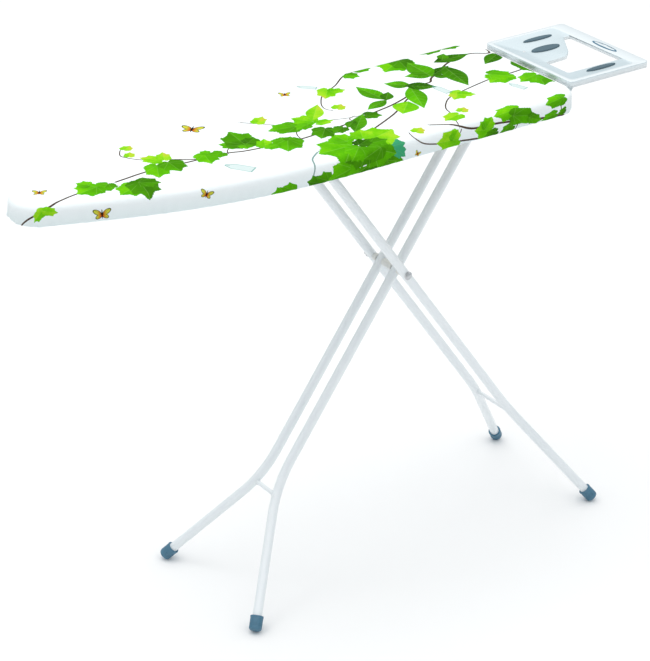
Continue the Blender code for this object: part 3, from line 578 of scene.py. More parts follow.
# stems, as relative widths at both ends, brown or grey-green, and the places they pass
stems = (
    (0.7, 1.1, 0, (-58, -16), (-36, -30), (-4, -45), (18, -51), (45, -50), (100, -38), (170, -33)),
    (1.1, 1.1, 0, (155, -36), (200, -30), (250, -25), (320, -30), (400, -35), (440, -46), (530, -56),
     (600, -52), (660, -45), (725, -30), (770, -20), (820, -1), (860, 30), (895, 30), (910, 45), (940, 62),
     (985, 90), (1045, 105), (1080, 87), (1090, 103)),
    (1, 0.9, 0, (660, -98), (680, -90), (750, -55), (800, -20), (825, -4)),
    (1, 0.5, 0, (345, -28), (310, -5), (270, 20), (250, 45), (246, 60), (258, 80)),
    (0.6, 0.4, 0, (500, 65), (520, 45), (540, 25), (550, 12)),
    (1, 0.5, 0, (860, 162), (790, 150), (740, 115), (700, 95), (670, 60), (660, 35), (666, 20)),
    (1.1, 0.6, 0, (1105, -12), (1050, -18), (1000, -20), (920, -38), (880, -50), (855, -70), (840, -90),
     (835, -108)),
    (1, 1, 0, (770, -134), (800, -152), (840, -172), (900, -176), (960, -184), (1000, -190), (1060, -196)),
    (0.9, 0.5, 1, (535, -120), (510, -140), (500, -165), (495, -180), (490, -198)),
    (0.5, 1, 0, (716, -143), (714, -158), (730, -174), (761, -183), (808, -189), (839, -193), (876, -197),
     (920, -200)),
    (0.5, 0.5, 0, (805, -186), (815, -172), (820, -160)),
    (0.5, 0.5, 0, (825, -132), (818, -148), (815, -158)),
    (0.5, 0.5, 0, (172, -34), (176, -48), (192, -58)),
    (0.5, 0.5, 0, (405, -36), (410, -26), (424, -16)),
    (0.5, 0.5, 0, (545, -56), (550, -36), (566, -12)),
    (0.5, 0.5, 0, (640, -16), (665, -24), (690, -28)),
    (0.5, 0.5, 0, (940, -198), (946, -190), (955, -176)),
    (0.5, 0.4, 0, (1052, -198), (1050, -184), (1046, -168)),
    (0.5, 0.4, 0, (668, -44), (668, -30), (680, -24)),
)
butterflies = (
    (400, 78, 424, 102, 0.8, 0.5), (114, -111, 121, -91, 0.95, 0.5), (49, -6, 61, 12, 0.75, 0.9),
    (290, -150, 300, -136, 0.9, 0.8), (634, 122, 645, 142, 0.65, 0.9), (716, -196, 722, -186, 0.7, 0.8),
)
tags = (
    (372, -76, 402, -122, 0.55, 0.5), (680, 152, 706, 124, 0.5, 0.5), (888, 12, 893, -32, 0.5, 0.5),
    (1012, -58, 1022, -96, 0.5, 0.5),
)
printLayers = 5
stemLayers = 2
stemUnit = 0.0022
cover = {
    "cell": 0.004,
    "roll": 0.013,
    "lowerRoll": 0.004,
    "hem": 0.027,
    "thickness": 0.0007,
    "crownDrop": 0.0009,
    "puckers": 0.0011,
    "gathers": 0.0026,
    "elastic": 0.0016,
    "greens": (                 # the leaves' colours, from dark to lime
        (0.0, (0.018, 0.095, 0.002)), (0.22, (0.042, 0.190, 0.003)), (0.45, (0.070, 0.310, 0.003)),
        (0.62, (0.100, 0.450, 0.003)), (0.78, (0.180, 0.580, 0.005)), (0.92, (0.340, 0.680, 0.020)),
        (1.0, (0.520, 0.560, 0.045)),
    ),
}


def smoothPath(points):
    # a smooth curve through the places given
    fine = []
    for k in range(len(points) - 1):
        here, there = Vector((*points[k], 0)), Vector((*points[k + 1], 0))
        before = Vector((*points[max(k - 1, 0)], 0))
        after = Vector((*points[min(k + 2, len(points) - 1)], 0))
        steps = max(int((there - here).length / 0.003), 3)
        leave, arrive = here + (there - before) / 6, there - (after - here) / 6
        curve = interpolate_bezier(here, leave, arrive, there, steps + 1)
        fine += [(point.x, point.y) for point in curve[:-1]]
    return np.array(fine + [points[-1]])


def layPrint(mesh, flat):
    # each face keeps the leaves and stems over it, in their own coordinates at its corners
    loops = np.array([loop.vertex_index for loop in mesh.loops])
    starts = np.array([polygon.loop_start for polygon in mesh.polygons])
    totals = np.array([polygon.loop_total for polygon in mesh.polygons])
    owner = np.repeat(np.arange(len(starts)), totals)
    corner = flat[loops] - (noseX, 0)
    middle = np.add.reduceat(corner, starts, axis=0) / totals[:, None]
    leaves = np.full((printLayers, len(loops), 3), 9.0)
    leaves[..., 2] = 0
    used = np.zeros(len(starts), int)
    marks = [(0, *leaf) for leaf in ivyLeaves] + [(1, *leaf) for leaf in pointedLeaves]
    marks += [(2, *fly) for fly in butterflies] + [(3, *tag) for tag in tags]
    for kind, *ends, width, tone in marks:
        s0, y0, s1, y1 = (value / 1000 for value in ends)
        length = hypot(s1 - s0, y1 - y0)
        run = np.array([s1 - s0, y1 - y0]) / length
        turn = np.array([run / length, np.array([-run[1], run[0]]) / length / width])
        near = np.hypot(*(middle - (s0 + s1, y0 + y1) / np.array(2)).T) < length + cover["cell"]
        chosen = np.flatnonzero(near[owner])
        local = (corner[chosen] - (s0, y0)) @ turn.T
        u, v = local.T
        margin = cover["cell"] / length / min(width, 1.0)
        away = np.hypot(u - 0.4, v)
        if kind == 0:
            reached, hidden = away < 0.62 + margin, (away < 0.36) & (u > 0.18)
        elif kind == 1:
            reached = (abs(v) < 0.5 + margin) & (u > -margin) & (u < 1 + margin)
            hidden = (abs(v) < 0.2) & (abs(u - 0.5) < 0.2)
        else:
            reached, hidden = (away < 1.1), away < 0
        touched = np.bincount(owner[chosen[reached]], minlength=len(starts)) > 0
        covered = np.bincount(owner[chosen[hidden]], minlength=len(starts)) == totals
        used[covered] = 0
        leaves[:, covered[owner], 0] = 9.0
        full = touched & (used == printLayers)
        leaves[:-1, full[owner]] = leaves[1:, full[owner]]
        used[full] -= 1
        kept = touched[owner[chosen]]
        chosen, local = chosen[kept], local[kept]
        leaves[used[owner[chosen]], chosen] = np.column_stack([local, np.full(len(chosen), 2 * kind + tone)])
        used[touched] += 1
    lines = np.full((stemLayers, len(loops), 3), 9.0)
    used = np.zeros(len(starts), int)
    for startWidth, endWidth, tint, *points in stems:
        points = [(along / 1000, across / 1000) for along, across in points]
        path = smoothPath(points)
        low, high = path.min(axis=0) - 0.01, path.max(axis=0) + 0.01
        around = ((middle > low) & (middle < high)).all(axis=1)
        faces = np.flatnonzero(around)
        begin, run = path[:-1], np.diff(path, axis=0)
        length = np.hypot(*run.T)

        def nearest(places):
            offset = places[:, None] - begin[None]
            share = np.clip((offset * run).sum(-1) / length ** 2, 0, 1)
            gap = offset - share[..., None] * run
            away = np.hypot(gap[..., 0], gap[..., 1])
            best = away.argmin(axis=1)
            pick = np.arange(len(places)), best
            turn = run[best, 0] * gap[pick][:, 1] - run[best, 1] * gap[pick][:, 0]
            return np.where(turn < 0, -1, 1) * away[pick], (best + share[pick]) / len(begin)

        away, _ = nearest(middle[faces])
        faces = faces[abs(away) < 0.009]
        chosenFace = np.zeros(len(starts), bool)
        chosenFace[faces] = True
        for layer in range(stemLayers):
            chosen = (chosenFace & (np.minimum(used, stemLayers - 1) == layer))[owner]
            away, share = nearest(corner[chosen])
            lines[layer, chosen, 0] = away / stemUnit / (startWidth + (endWidth - startWidth) * share)
            lines[layer, chosen, 1] = share * edgeScale(points)
            lines[layer, chosen, 2] = tint
        used[faces] += 1
    for name, layers in (("leaf", leaves), ("stem", lines)):
        for k, values in enumerate(layers):
            made = mesh.attributes.new(f"{name}{k}", "FLOAT_VECTOR", "CORNER")
            made.data.foreach_set("vector", values.astype(np.float32).ravel())


def edgeScale(points):
    # a stem's length in metres, roughly
    return sum(hypot(b[0] - a[0], b[1] - a[1]) for a, b in zip(points, points[1:]))


def ivyMask(finish, u, v, wobble):
    reach = u - 0.40
    angle = abs(v.maths("ARCTAN2", reach)) / pi
    away = (reach * reach + v * v) ** 0.5
    lobes = (
        (0.0, 0.60, "VECTOR"), (0.08, 0.49, "AUTO"), (0.17, 0.44, "AUTO"), (0.28, 0.53, "VECTOR"),
        (0.36, 0.46, "AUTO"), (0.46, 0.43, "AUTO"), (0.60, 0.51, "VECTOR"), (0.74, 0.46, "AUTO"),
        (0.88, 0.43, "AUTO"), (1.0, 0.29, "VECTOR"),
    )
    edgeCurve = finish.node("ShaderNodeFloatCurve", {"points": lobes}, {"Value": angle})
    mask = ((edgeCurve + wobble * 0.12 - away) * 70.0).clamped()
    # veins fan out from where the stalk joins
    stalk = u - 0.14
    veins = abs(v) / 0.016
    for slope in (0.95, 3.2):
        veins = veins.maths("MINIMUM", abs(abs(v) - stalk * slope) / (0.013 * (1 + slope ** 2) ** 0.5))
    return mask, (1 - veins).clamped()


def pointedMask(u, v):
    inside = u.maths("MAXIMUM", 0.0001).maths("MINIMUM", 0.9999)
    teeth = (u * 15.0 - abs(v) * 2.0).maths("FRACT")
    half = (inside ** 0.86 * pi).maths("SINE") ** 1.25 * (0.475 + teeth * 0.03)
    mask = ((half - abs(v)) * 60.0).clamped() * (u > 0.0) * (u < 1.0)
    ribs = abs((u * 6.5 - abs(v) * 2.3).maths("FRACT") - 0.5) / 0.07
    veins = (abs(v) / 0.03).maths("MINIMUM", ribs + abs(v) * 0.4)
    return mask, (1 - veins).clamped()


def tagMask(u, v):
    # a blank swing tag: a thin outline with its corners cut at the string's end
    rim = (abs(v) - 0.36).maths("MAXIMUM", abs(u - 0.5) - 0.5).maths("MAXIMUM", abs(v) * 0.7 - u * 0.7 - 0.06)
    eye = abs(((u - 0.12) ** 2.0 + v ** 2.0) ** 0.5 - 0.035)
    line = (1.4 - abs(rim + 0.03) / 0.030).clamped() * 0.85
    return (line.maths("MAXIMUM", (1.4 - eye / 0.03).clamped() * 0.7)).maths("MAXIMUM", (rim < 0) * 0.34)


def butterflyLook(finish, u, v):
    across = abs(v)
    body = (((u - 0.5) / 0.42) ** 2.0 + (v / 0.055) ** 2.0)
    wings = []
    for centre, lift, long, wide, lean in ((0.66, 0.40, 0.44, 0.22, 0.55), (0.30, 0.28, 0.32, 0.19, -0.45)):
        du, dv = u - centre, across - lift
        alongWing = du * sin(lean) + dv * cos(lean)
        acrossWing = du * cos(lean) - dv * sin(lean)
        wings.append(((alongWing / long) ** 2.0 + (acrossWing / wide) ** 2.0))
    wing = wings[0].maths("MINIMUM", wings[1])
    mask = ((1 - wing.maths("MINIMUM", body)) * 9.0).clamped()
    colour = finish.mixed((across * 3.0 - 0.25).clamped(), (0.62, 0.08, 0.01), (0.60, 0.62, 0.06))
    colour = finish.mixed(((wing - 0.45) * 4.0).clamped(), colour, (0.03, 0.04, 0.01))
    veins = abs((v.maths("ARCTAN2", u - 0.45) * 2.6).maths("FRACT") - 0.5)
    colour = finish.mixed(((0.09 - veins) * 14.0).clamped() * 0.7, colour, (0.06, 0.05, 0.01))
    return mask, finish.mixed((body < 1.0), colour, (0.015, 0.008, 0.005))


def cottonFinish():
    finish = Finish("printedCotton", Specular_IOR_Level=0.02)
    place = finish.place()
    flat = finish.node("ShaderNodeUVMap", {"uv_map": "cloth"}, {})
    cloud = finish.noise(6.0, 3.0, flat)
    colour = finish.mixed(cloud, (0.885, 0.940, 0.950), (0.92, 0.955, 0.960))
    # painted shade: the side of the cover darkens to blue-grey towards its bottom and the hem, where less
    # light falls
    height = finish.apart(place)[2]
    low = ((coverHigh[2] - cover["roll"] - height) * 34.0).clamped()
    colour = finish.mixed(low, colour, (0.790, 0.880, 0.885))
    printed = None
    for layer in range(stemLayers):
        line = finish.node("ShaderNodeAttribute", {"attribute_name": f"stem{layer}"}, {}, "Vector")
        across, along, tint = finish.apart(line)
        knots = finish.noise(1.0, 2.0, finish.node("ShaderNodeCombineXYZ", {}, {0: along * 240.0, 1: across}))
        mask = ((0.9 + knots * 0.35 - abs(across)) * 3.5).clamped()
        bark = finish.mixed((across * 0.5 + 0.5).clamped(), (0.035, 0.020, 0.014), (0.13, 0.085, 0.060))
        bark = finish.mixed((knots - 0.55).clamped(), bark, (0.10, 0.12, 0.03))
        bark = finish.mixed(tint, bark, (0.22, 0.34, 0.32))
        colour = finish.mixed(mask, colour, bark)
        printed = mask if printed is None else printed.maths("MAXIMUM", mask)
    mottle = finish.noise(260.0, 3.0, flat)
    blotch = finish.noise(38.0, 2.0, flat)
    for layer in range(printLayers):
        mark = finish.node("ShaderNodeAttribute", {"attribute_name": f"leaf{layer}"}, {}, "Vector")
        u, v, code = finish.apart(mark)
        isPointed = (code > 1.5) * (code < 3.5)
        isFly = (code > 3.5) * (code < 5.5)
        isTag = code > 5.5
        tone = code - isPointed * 2.0 - isFly * 4.0
        ivy, ivyVeins = ivyMask(finish, u, v, mottle - 0.5)
        pointed, pointedVeins = pointedMask(u, v)
        fly, flyColour = butterflyLook(finish, u, v)
        tag = tagMask(u, v)
        leaf = (ivy + (pointed - ivy) * isPointed) * (code < 3.5)
        veins = ivyVeins + (pointedVeins - ivyVeins) * isPointed
        # one half of a leaf lies in its own shade, and the base is darker than the tip
        shade = tone - (v > 0.0) * 0.10 + (u - 0.45) * 0.16 + (blotch - 0.5) * 0.34 + (mottle - 0.5) * 0.16
        green = finish.node("ShaderNodeValToRGB", {"stops": cover["greens"]}, {"Fac": shade})
        green = finish.mixed((tone > 1.1), green, (0.050, 0.360, 0.170))
        green = finish.mixed(veins * 0.36, green, finish.mixed(0.5, green, (0.45, 0.78, 0.20)))
        inked = leaf.maths("MAXIMUM", fly * isFly)
        colour = finish.mixed(inked, colour, finish.mixed(isFly, green, flyColour))
        colour = finish.mixed(tag * isTag, colour, (0.12, 0.34, 0.29))
        printed = printed.maths("MAXIMUM", inked)
    wave = {"Vector": flat, "Scale": 330.0, "Distortion": 0.6, "Detail": 1.0}
    weave, weft = (finish.node("ShaderNodeTexWave", {"bands_direction": axis}, wave, "Fac") for axis in "XY")
    slub = finish.noise(1.0, 2.0, finish.node("ShaderNodeVectorMath", {"operation": "MULTIPLY"},
                                              {0: flat, 1: (90.0, 900.0, 1.0)}))
    threads = weave * weft + slub * 0.5
    normal = finish.bump(threads, 0.00016, 0.55, finish.bump(finish.noise(45.0, 3.0, place), 0.0006, 0.35))
    # painted shade: the weave's pattern multiplies the colour a little toward blue-grey, as the threads' own
    # shading
    weaveShade = finish.mixed((threads - 0.25).clamped() * 0.10, colour, (0.55, 0.58, 0.62), "MULTIPLY")
    return finish.vary(Base_Color=weaveShade, Roughness=0.86 - printed * 0.10 + slub * 0.06, Normal=normal)


finishes["cotton"] = cottonFinish()
print("cotton printed")


def makeCover():
    top, bottom = coverHigh[2], coverLow[2]
    roll, low, hem, cell = cover["roll"], cover["lowerRoll"], cover["hem"], cover["cell"]
    bm = bmesh.new()
    boardGrid(bm, roll, top, round((rearX - noseX) / cell), round(2 * halfWidth / cell))
    flatLayer = bm.verts.layers.float_vector.new("flat")
    fallLayer = bm.verts.layers.float.new("fall")
    rim, atLayer = markRim(bm, roll, 12000)
    for vert in bm.verts:
        vert[flatLayer] = (vert.co.x, vert.co.y, 0)
    side = top - bottom - roll - low
    rows = [(roll - roll * sin(turn), top - roll + roll * cos(turn), roll * turn)
            for turn in (pi / 8, pi / 4, 3 * pi / 8, pi / 2)]
    sideRows = 9
    rows += [(0, top - roll - side * k / sideRows, roll * pi / 2 + side * k / sideRows)
             for k in range(1, sideRows + 1)]
    turnLength = roll * pi / 2 + side
    rows += [(low - low * cos(turn), bottom + low - low * sin(turn), turnLength + low * turn)
             for turn in (pi / 6, pi / 3, pi / 2)]
    hemRows = 9
    fall = turnLength + low * pi / 2
    rows += [(low + (hem - low) * k / hemRows, bottom, fall + (hem - low) * k / hemRows)
             for k in range(1, hemRows + 1)]
    # the hem's end is turned up round its elastic
    loopRadius = cover["elastic"]
    fall += hem - low
    rows += [(hem + loopRadius * sin(turn), bottom + loopRadius * (1 - cos(turn)), fall + loopRadius * turn)
             for turn in (pi / 3, 2 * pi / 3, pi, 4 * pi / 3, 5 * pi / 3)]
    for inset, height, length in rows:
        def places(vert):
            spot, outward = edgePoint(vert[atLayer])
            spread = outward * (length - roll)
            vert[flatLayer] = (spot[0] + spread[0], spot[1] + spread[1], 0)
            vert[fallLayer] = length
            return Vector((*(spot - outward * inset), height))
        rim = pulled(bm, rim, places)
    crown(bm, atLayer, fallLayer, side)
    faceUp(bm, lambda face: face.calc_center_median().z)
    bm.verts.ensure_lookup_table()
    flat = np.array([vert[flatLayer][:2] for vert in bm.verts])
    piece = keep("coverCloth", bm, "cotton", "board", ["cover"], 180, tidy=False)
    mesh = piece.data
    layPrint(mesh, flat)
    uv = mesh.uv_layers.new(name="cloth")
    loops = [loop.vertex_index for loop in mesh.loops]
    uv.uv.foreach_set("vector", flat[loops].astype(np.float32).ravel())
    thicken(piece, cover["thickness"])
    reach = fall + 0.01 - roll
    flatSize = (rearX - noseX + 2 * reach, 2 * (halfWidth + reach))
    ring = 0.5 * abs(np.dot(edge[:-1, 0], edge[1:, 1]) - np.dot(edge[1:, 0], edge[:-1, 1]))
    ring + perimeter * reach


def crown(bm, atLayer, fallLayer, side):
    # the foam gives a soft crown, the side puckers towards the hem, and the hem gathers on its elastic
    roll, low = cover["roll"], cover["lowerRoll"]
    arc = roll * pi / 2
    rng = np.random.default_rng(7)
    waves = [(count, rng.uniform(0, 2 * pi), rng.uniform(0.5, 1.0)) for count in (61, 83, 97, 131, 149)]
    gatherWaves = [(count, rng.uniform(0, 2 * pi), rng.uniform(0.6, 1.0)) for count in (173, 211, 257)]
    swells = [(rng.uniform(6, 22), rng.uniform(8, 30), rng.uniform(0, 2 * pi)) for _ in range(7)]
    centreOnEdge = edge[::6]
    for vert in bm.verts:
        x, y, z = vert.co
        at, gone = vert[atLayer], vert[fallLayer]
        if gone == 0:
            away = np.hypot(*(centreOnEdge - (x, y)).T).min()
            swell = sum(sin(a * x + b * y + c) for a, b, c in swells) / len(swells)
            vert.co.z = z - cover["crownDrop"] * np.exp(-(away - roll) / 0.012) + 0.00035 * swell
            continue
        turn = 2 * pi * at / perimeter
        ripple = sum(size * sin(count * turn + phase) for count, phase, size in waves) / 3
        gather = sum(size * sin(count * turn + phase) for count, phase, size in gatherWaves) / 2
        spot, outward = edgePoint(at)
        # the nose and the corners take up more cloth
        bend = 1.0 + 1.6 * np.exp(-((spot[0] - noseX) / 0.05) ** 2)
        bend += 0.8 * np.exp(-((rearX - spot[0]) / 0.05) ** 2) * (abs(spot[1]) > 0.08)
        down = min(max((gone - arc) / side, 0.0), 1.0)
        if gone <= arc:
            vert.co.z -= cover["crownDrop"] * (1 - gone / arc) * 0.9
        amount = cover["puckers"] * bend * down ** 1.6 * ripple
        past = gone - arc - side - low * pi / 2
        if past <= 0:
            pushed = outward * max(amount, -0.0002)
            vert.co.x += pushed[0]
            vert.co.y += pushed[1]
        else:
            share = min(max((past / cover["hem"] - 0.35) / 0.65, 0.0), 1.0)
            vert.co.z += cover["gathers"] * bend ** 0.5 * share * (0.5 + 0.5 * gather)


foam = {
    "round": 0.0025,
    "pressed": 0.0011,          # room for the cloth above it
    "cells": (110, 34),
    "fill": 0.35,
}


def makeFoam():
    low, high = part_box("foam_pad")
    inset = low[0] - noseX
    size = foam["round"]
    top, bottom = high[2] - foam["pressed"], low[2]
    bm = bmesh.new()
    boardGrid(bm, inset + size, top, *foam["cells"])
    rim, atLayer = markRim(bm, inset + size, 6000)
    ease = size * 0.3
    rows = [(inset + ease, top - ease), (inset, top - size), (inset, bottom + size),
            (inset + ease, bottom + ease), (inset + size, bottom)]
    bmesh.ops.holes_fill(bm, edges=walled(bm, rim, atLayer, rows), sides=0)
    piece = keep("foamPad", bm, "foam", "board", ["foam_pad"])


makeFoam()
makeCover()
print("foam and cover made")

# leg sizes
leg = {
    "radius": 0.009,
    "lean": radians(35.66),
    "tubeEnd": 0.010,
    "bendRadius": 0.220,
    "braceRadius": 0.004,
    "braceDrop": 0.017,
    "plugWall": 0.0014,
    "weld": 0.0016,
}
legPairs = {
    "hinged": {"halfGap": 0.0235, "splay": radians(28.9), "bendHeight": 0.205, "tilt": 1},
    "sliding": {"halfGap": 0.0516, "splay": radians(21.7), "bendHeight": 0.216, "tilt": -1},
}
cap = {
    "radius": 0.0122,
    "round": 0.0055,
    "length": 0.028,
    "seat": 0.010,              # depth of the tube in it
    "lip": 0.0006,
    "lipHeight": 0.0017,
    "grooves": (0.0030, 0.0062, 0.0094),
}
crossing = Vector(joints["leg_crossing"]["pos_m"])
hingeHeight = joints["leg_fold"]["pos_m"][2]
upperLength = (hingeHeight - crossing.z) / cos(leg["lean"])


def makeLegs():
    for kind, pair in legPairs.items():
        body = f"{kind}_leg"
        stand = Matrix.Translation(crossing) @ Matrix.Rotation(pair["tilt"] * leg["lean"], 4, "Y")
        gap, splay = pair["halfGap"], pair["splay"]
        bend = (crossing.z - pair["bendHeight"]) / cos(leg["lean"])
        reach = leg["bendRadius"] * tan(splay / 2)
        tilt = asin(min(1.0, (1 - (cos(splay) * cos(leg["lean"])) ** 2) ** 0.5))
        footHeight = (cap["radius"] - cap["round"]) * sin(tilt) + cap["round"]
        foot = (crossing.z - footHeight) / cos(leg["lean"])
        for name, side in (("near", -1), ("far", 1)):
            top = upperLength + leg["tubeEnd"]
            path = [(0, side * gap, height) for height in (top, 0.1, reach - bend)]
            steps = 20
            for k in range(1, steps + 1):
                turn = splay * k / steps
                path.append((0, side * (gap + leg["bendRadius"] * (1 - cos(turn))),
                             reach - bend - leg["bendRadius"] * sin(turn)))
            spread = gap + (foot - bend) * tan(splay)
            outward = Vector((0, side * sin(splay), -cos(splay)))
            end = Vector((0, side * spread, -foot))
            path.append(tuple(end + outward * 0.0006))
            bm = swept(path, leg["radius"])
            bm.transform(stand)
            keep(f"{kind}Tube{name.title()}", bm, "paint", body, [f"{kind}_tube_{name}"])
            makeCap(kind, name, body, stand, end, outward)
            inside, radius, seat, high = leg["radius"] - leg["plugWall"], leg["radius"], 0.0001, 0.0021
            plug = rounded([(0, -0.002, 0), (inside, -0.002, 0), (inside, seat, 0), (radius, seat, 0),
                            (radius, high, 0.0012), (0, high, 0)])
            bm = turned(plug, (0, side * gap, top), (0, 0, 1))
            bm.transform(stand)
            keep(f"{kind}Plug{name.title()}", bm, "nylon", body, [f"{kind}_plug_{name}"])
        makeBrace(kind, body, stand, gap, splay, bend, reach)


def makeCap(kind, name, body, stand, end, outward):
    radius, size, tall = cap["radius"], cap["round"], cap["lipHeight"]
    bore = leg["radius"] + 0.0002
    high = cap["length"] - size
    profile = [(0, -size)]
    profile += [(radius - size + size * sin(turn), -size * cos(turn)) for turn in
                (k * pi / 12 for k in range(7))]
    # shallow grip rings, then a beaded lip
    for level in cap["grooves"]:
        profile += [(radius - depth, level + rise) for depth, rise in
                    ((0, 0), (0.0005, 0.0004), (0.0005, 0.0010), (0, 0.0014))]
    outer = radius - 0.0001
    profile += [(outer, high - 0.0040)]
    profile += [(outer + cap["lip"] * sin(turn), high - tall - tall * cos(turn)) for turn in
                (k * pi / 6 for k in range(7))]
    profile += [(bore, high - 0.0004), (bore, high - cap["seat"]), (0, high - cap["seat"])]
    bm = turned(profile, end, -outward)
    bm.transform(stand)
    keep(f"{kind}Cap{name.title()}", bm, "slate", body, [f"{kind}_cap_{name}"], 30)


def makeBrace(kind, body, stand, gap, splay, bend, reach):
    drop = bend + leg["braceDrop"]
    turn = min(atan2(drop - bend + reach, leg["bendRadius"]), splay)
    middle = gap + leg["bendRadius"] * (1 - cos(turn))
    end = middle - leg["braceRadius"] * tan(turn) - leg["radius"] / cos(turn)
    bm = swept([(0, -end - 0.002, -drop), (0, end + 0.002, -drop)], leg["braceRadius"], 24)
    bm.transform(stand)
    keep(f"{kind}Brace", bm, "paint", body, [f"{kind}_brace"])
    for name, side in (("Near", -1), ("Far", 1)):
        # a ring of weld where the brace meets the tube
        size = leg["weld"]
        bead = [(leg["braceRadius"] - 0.0004 + size * cos(angle), size * sin(angle)) for angle in
                (k * pi / 5 for k in range(10))]
        bm = turned(bead, (0, side * (end - 0.0002), -drop), (0, side, -side * tan(turn) * 0.6), 40)
        for vert in bm.verts:
            lump = sin(vert.co.x * 2900) * sin(vert.co.z * 2300 + side)
            vert.co += (vert.co - Vector((0, side * end, -drop))).normalized() * 0.00022 * lump
        bm.transform(stand)
        keep(f"{kind}Weld{name}", bm, "paint", body)


makeLegs()
print("legs made")


def turnedNode(node, body, finish, inner, edgeSize):
    # a finer round piece along Y in a node's own box
    low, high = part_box(node)
    outer = (high[0] - low[0]) / 2
    centre = ((low[0] + high[0]) / 2, low[1], (low[2] + high[2]) / 2)
    length = high[1] - low[1]
    size = min(edgeSize, (outer - inner) / 3, length / 3)
    within = size if inner else 0
    profile = [(inner, 0, within), (outer, 0, size), (outer, length, size), (inner, length, within)]
    bm = turned(rounded(profile), centre, (0, 1, 0))
    keep(camel(node), bm, finish, body, [node])


def camel(node):
    first, *rest = node.split("_")
    return first + "".join(word.title() for word in rest)


hinge = Vector(joints["leg_fold"]["pos_m"])
hardware = {
    "boltHead": 0.0062,
    "boltRadius": 0.004,
    "boltHeight": 0.0045,
    "boltDome": 0.0026,
    "pitch": 0.00125,
    "threads": 8,
    "nutRadius": 0.0075,
    "rodRadius": 0.004,
    "rodHead": 0.0012,
    "glideBore": 0.0062,
    "rodBore": 0.0042,
}


def makeHardware():
    for name in ("near", "far"):
        turnedNode(f"glide_{name}", "sliding_leg", "nylon", hardware["glideBore"], 0.001)
        turnedNode(f"hinge_washer_{name}", "hinged_leg", "nylon", hardware["rodBore"], 0.0003)
        turnedNode(f"crossing_spacer_{name}", "sliding_leg", "nylon", hardware["rodBore"], 0.0006)
        turnedNode(f"crossing_washer_{name}", "sliding_leg", "zinc", hardware["rodBore"], 0.0003)
    turnedNode("crossing_spacer_middle", "hinged_leg", "nylon", hardware["rodBore"], 0.0006)
    turnedNode("slide_axle", "sliding_leg", "zinc", 0.0, 0.0008)
    # hinge rod with a peened head at each end
    low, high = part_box("hinge_rod")
    length, head = high[1] - low[1], (high[0] - low[0]) / 2
    shank, tall = hardware["rodRadius"], hardware["rodHead"]
    profile = rounded([(0, 0, 0), (head, 0, 0.0008), (head, tall, 0), (shank, tall, 0),
                       (shank, length - tall, 0), (head, length - tall, 0), (head, length, 0.0008),
                       (0, length, 0)])
    bm = turned(profile, (hinge.x, low[1], hinge.z), (0, 1, 0))
    keep("hingeRod", bm, "zinc", "hinged_leg", ["hinge_rod"])
    # cup head bolt, with a turned end past the nut
    low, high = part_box("crossing_bolt")
    length = high[1] - low[1]
    size, shank, tall = hardware["boltHead"], hardware["boltRadius"] - 0.0001, hardware["boltHeight"]
    pitch = hardware["pitch"]
    start = length - (hardware["threads"] + 0.4) * pitch
    threads = []
    for k in range(hardware["threads"]):
        threads += [(shank, start + k * pitch), (shank - 0.0004, start + (k + 0.5) * pitch)]
    profile = dome(size, tall - hardware["boltDome"], hardware["boltDome"], 8)
    profile += [(size, tall), (shank, tall)] + threads + [(shank - 0.0007, length), (0, length)]
    bm = turned(profile, (crossing.x, low[1], crossing.z), (0, 1, 0))
    keep("crossingBolt", bm, "zinc", "hinged_leg", ["crossing_bolt"])
    # hexagon nut with its corners turned off
    low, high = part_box("crossing_nut")
    bm = bmesh.new()
    across = hardware["nutRadius"]
    bmesh.ops.create_cone(bm, cap_ends=True, segments=6, radius1=across, radius2=across,
                          depth=high[1] - low[1])
    eased(bm, bm.verts[:] + bm.edges[:], 0.0006, 2, False)
    turn = Matrix.Rotation(pi / 2, 4, "X")
    bm.transform(Matrix.Translation((crossing.x, (low[1] + high[1]) / 2, crossing.z)) @ turn)
    keep("crossingNut", bm, "zinc", "hinged_leg", ["crossing_nut"], 30)


makeHardware()
print("hardware made")


def softened(node, body, finish, size=0.0003):
    # a copy of a folded sheet node with its edges eased
    bm = bmesh.new()
    bm.from_mesh(frame["nodes"][node].data)
    bmesh.ops.remove_doubles(bm, verts=bm.verts[:], dist=1e-6)
    bmesh.ops.dissolve_limit(bm, angle_limit=radians(0.5), verts=bm.verts[:], edges=bm.edges[:])
    eased(bm, creases(bm, 32), size, 2)
    keep(camel(node), bm, finish, body, [node], 50, tidy=False)


sheetPieces = {
    "paint": ("stay_front", "stay_middle", "stay_hinge", "stay_rear", "rail_near", "rail_far", "rest_arm_near",
              "rest_arm_far", "rim_nose", "rim_near", "rim_far", "rim_rear"),
    "zinc": ("hinge_bracket", "lever_bracket_front", "lever_bracket_rear"),
}


def makeSheetPieces():
    for finish, nodes in sheetPieces.items():
        for node in nodes:
            softened(node, "board", finish)
    softened("lever_comb", "height_lever", "zinc")
    softened("lever_arm", "height_lever", "zinc")


makeSheetPieces()
print("sheet metal eased")

meshTop = {
    "diamondLength": 0.024,
    "diamondWidth": 0.012,
    "strand": 0.0019,
    "border": 0.008,
}


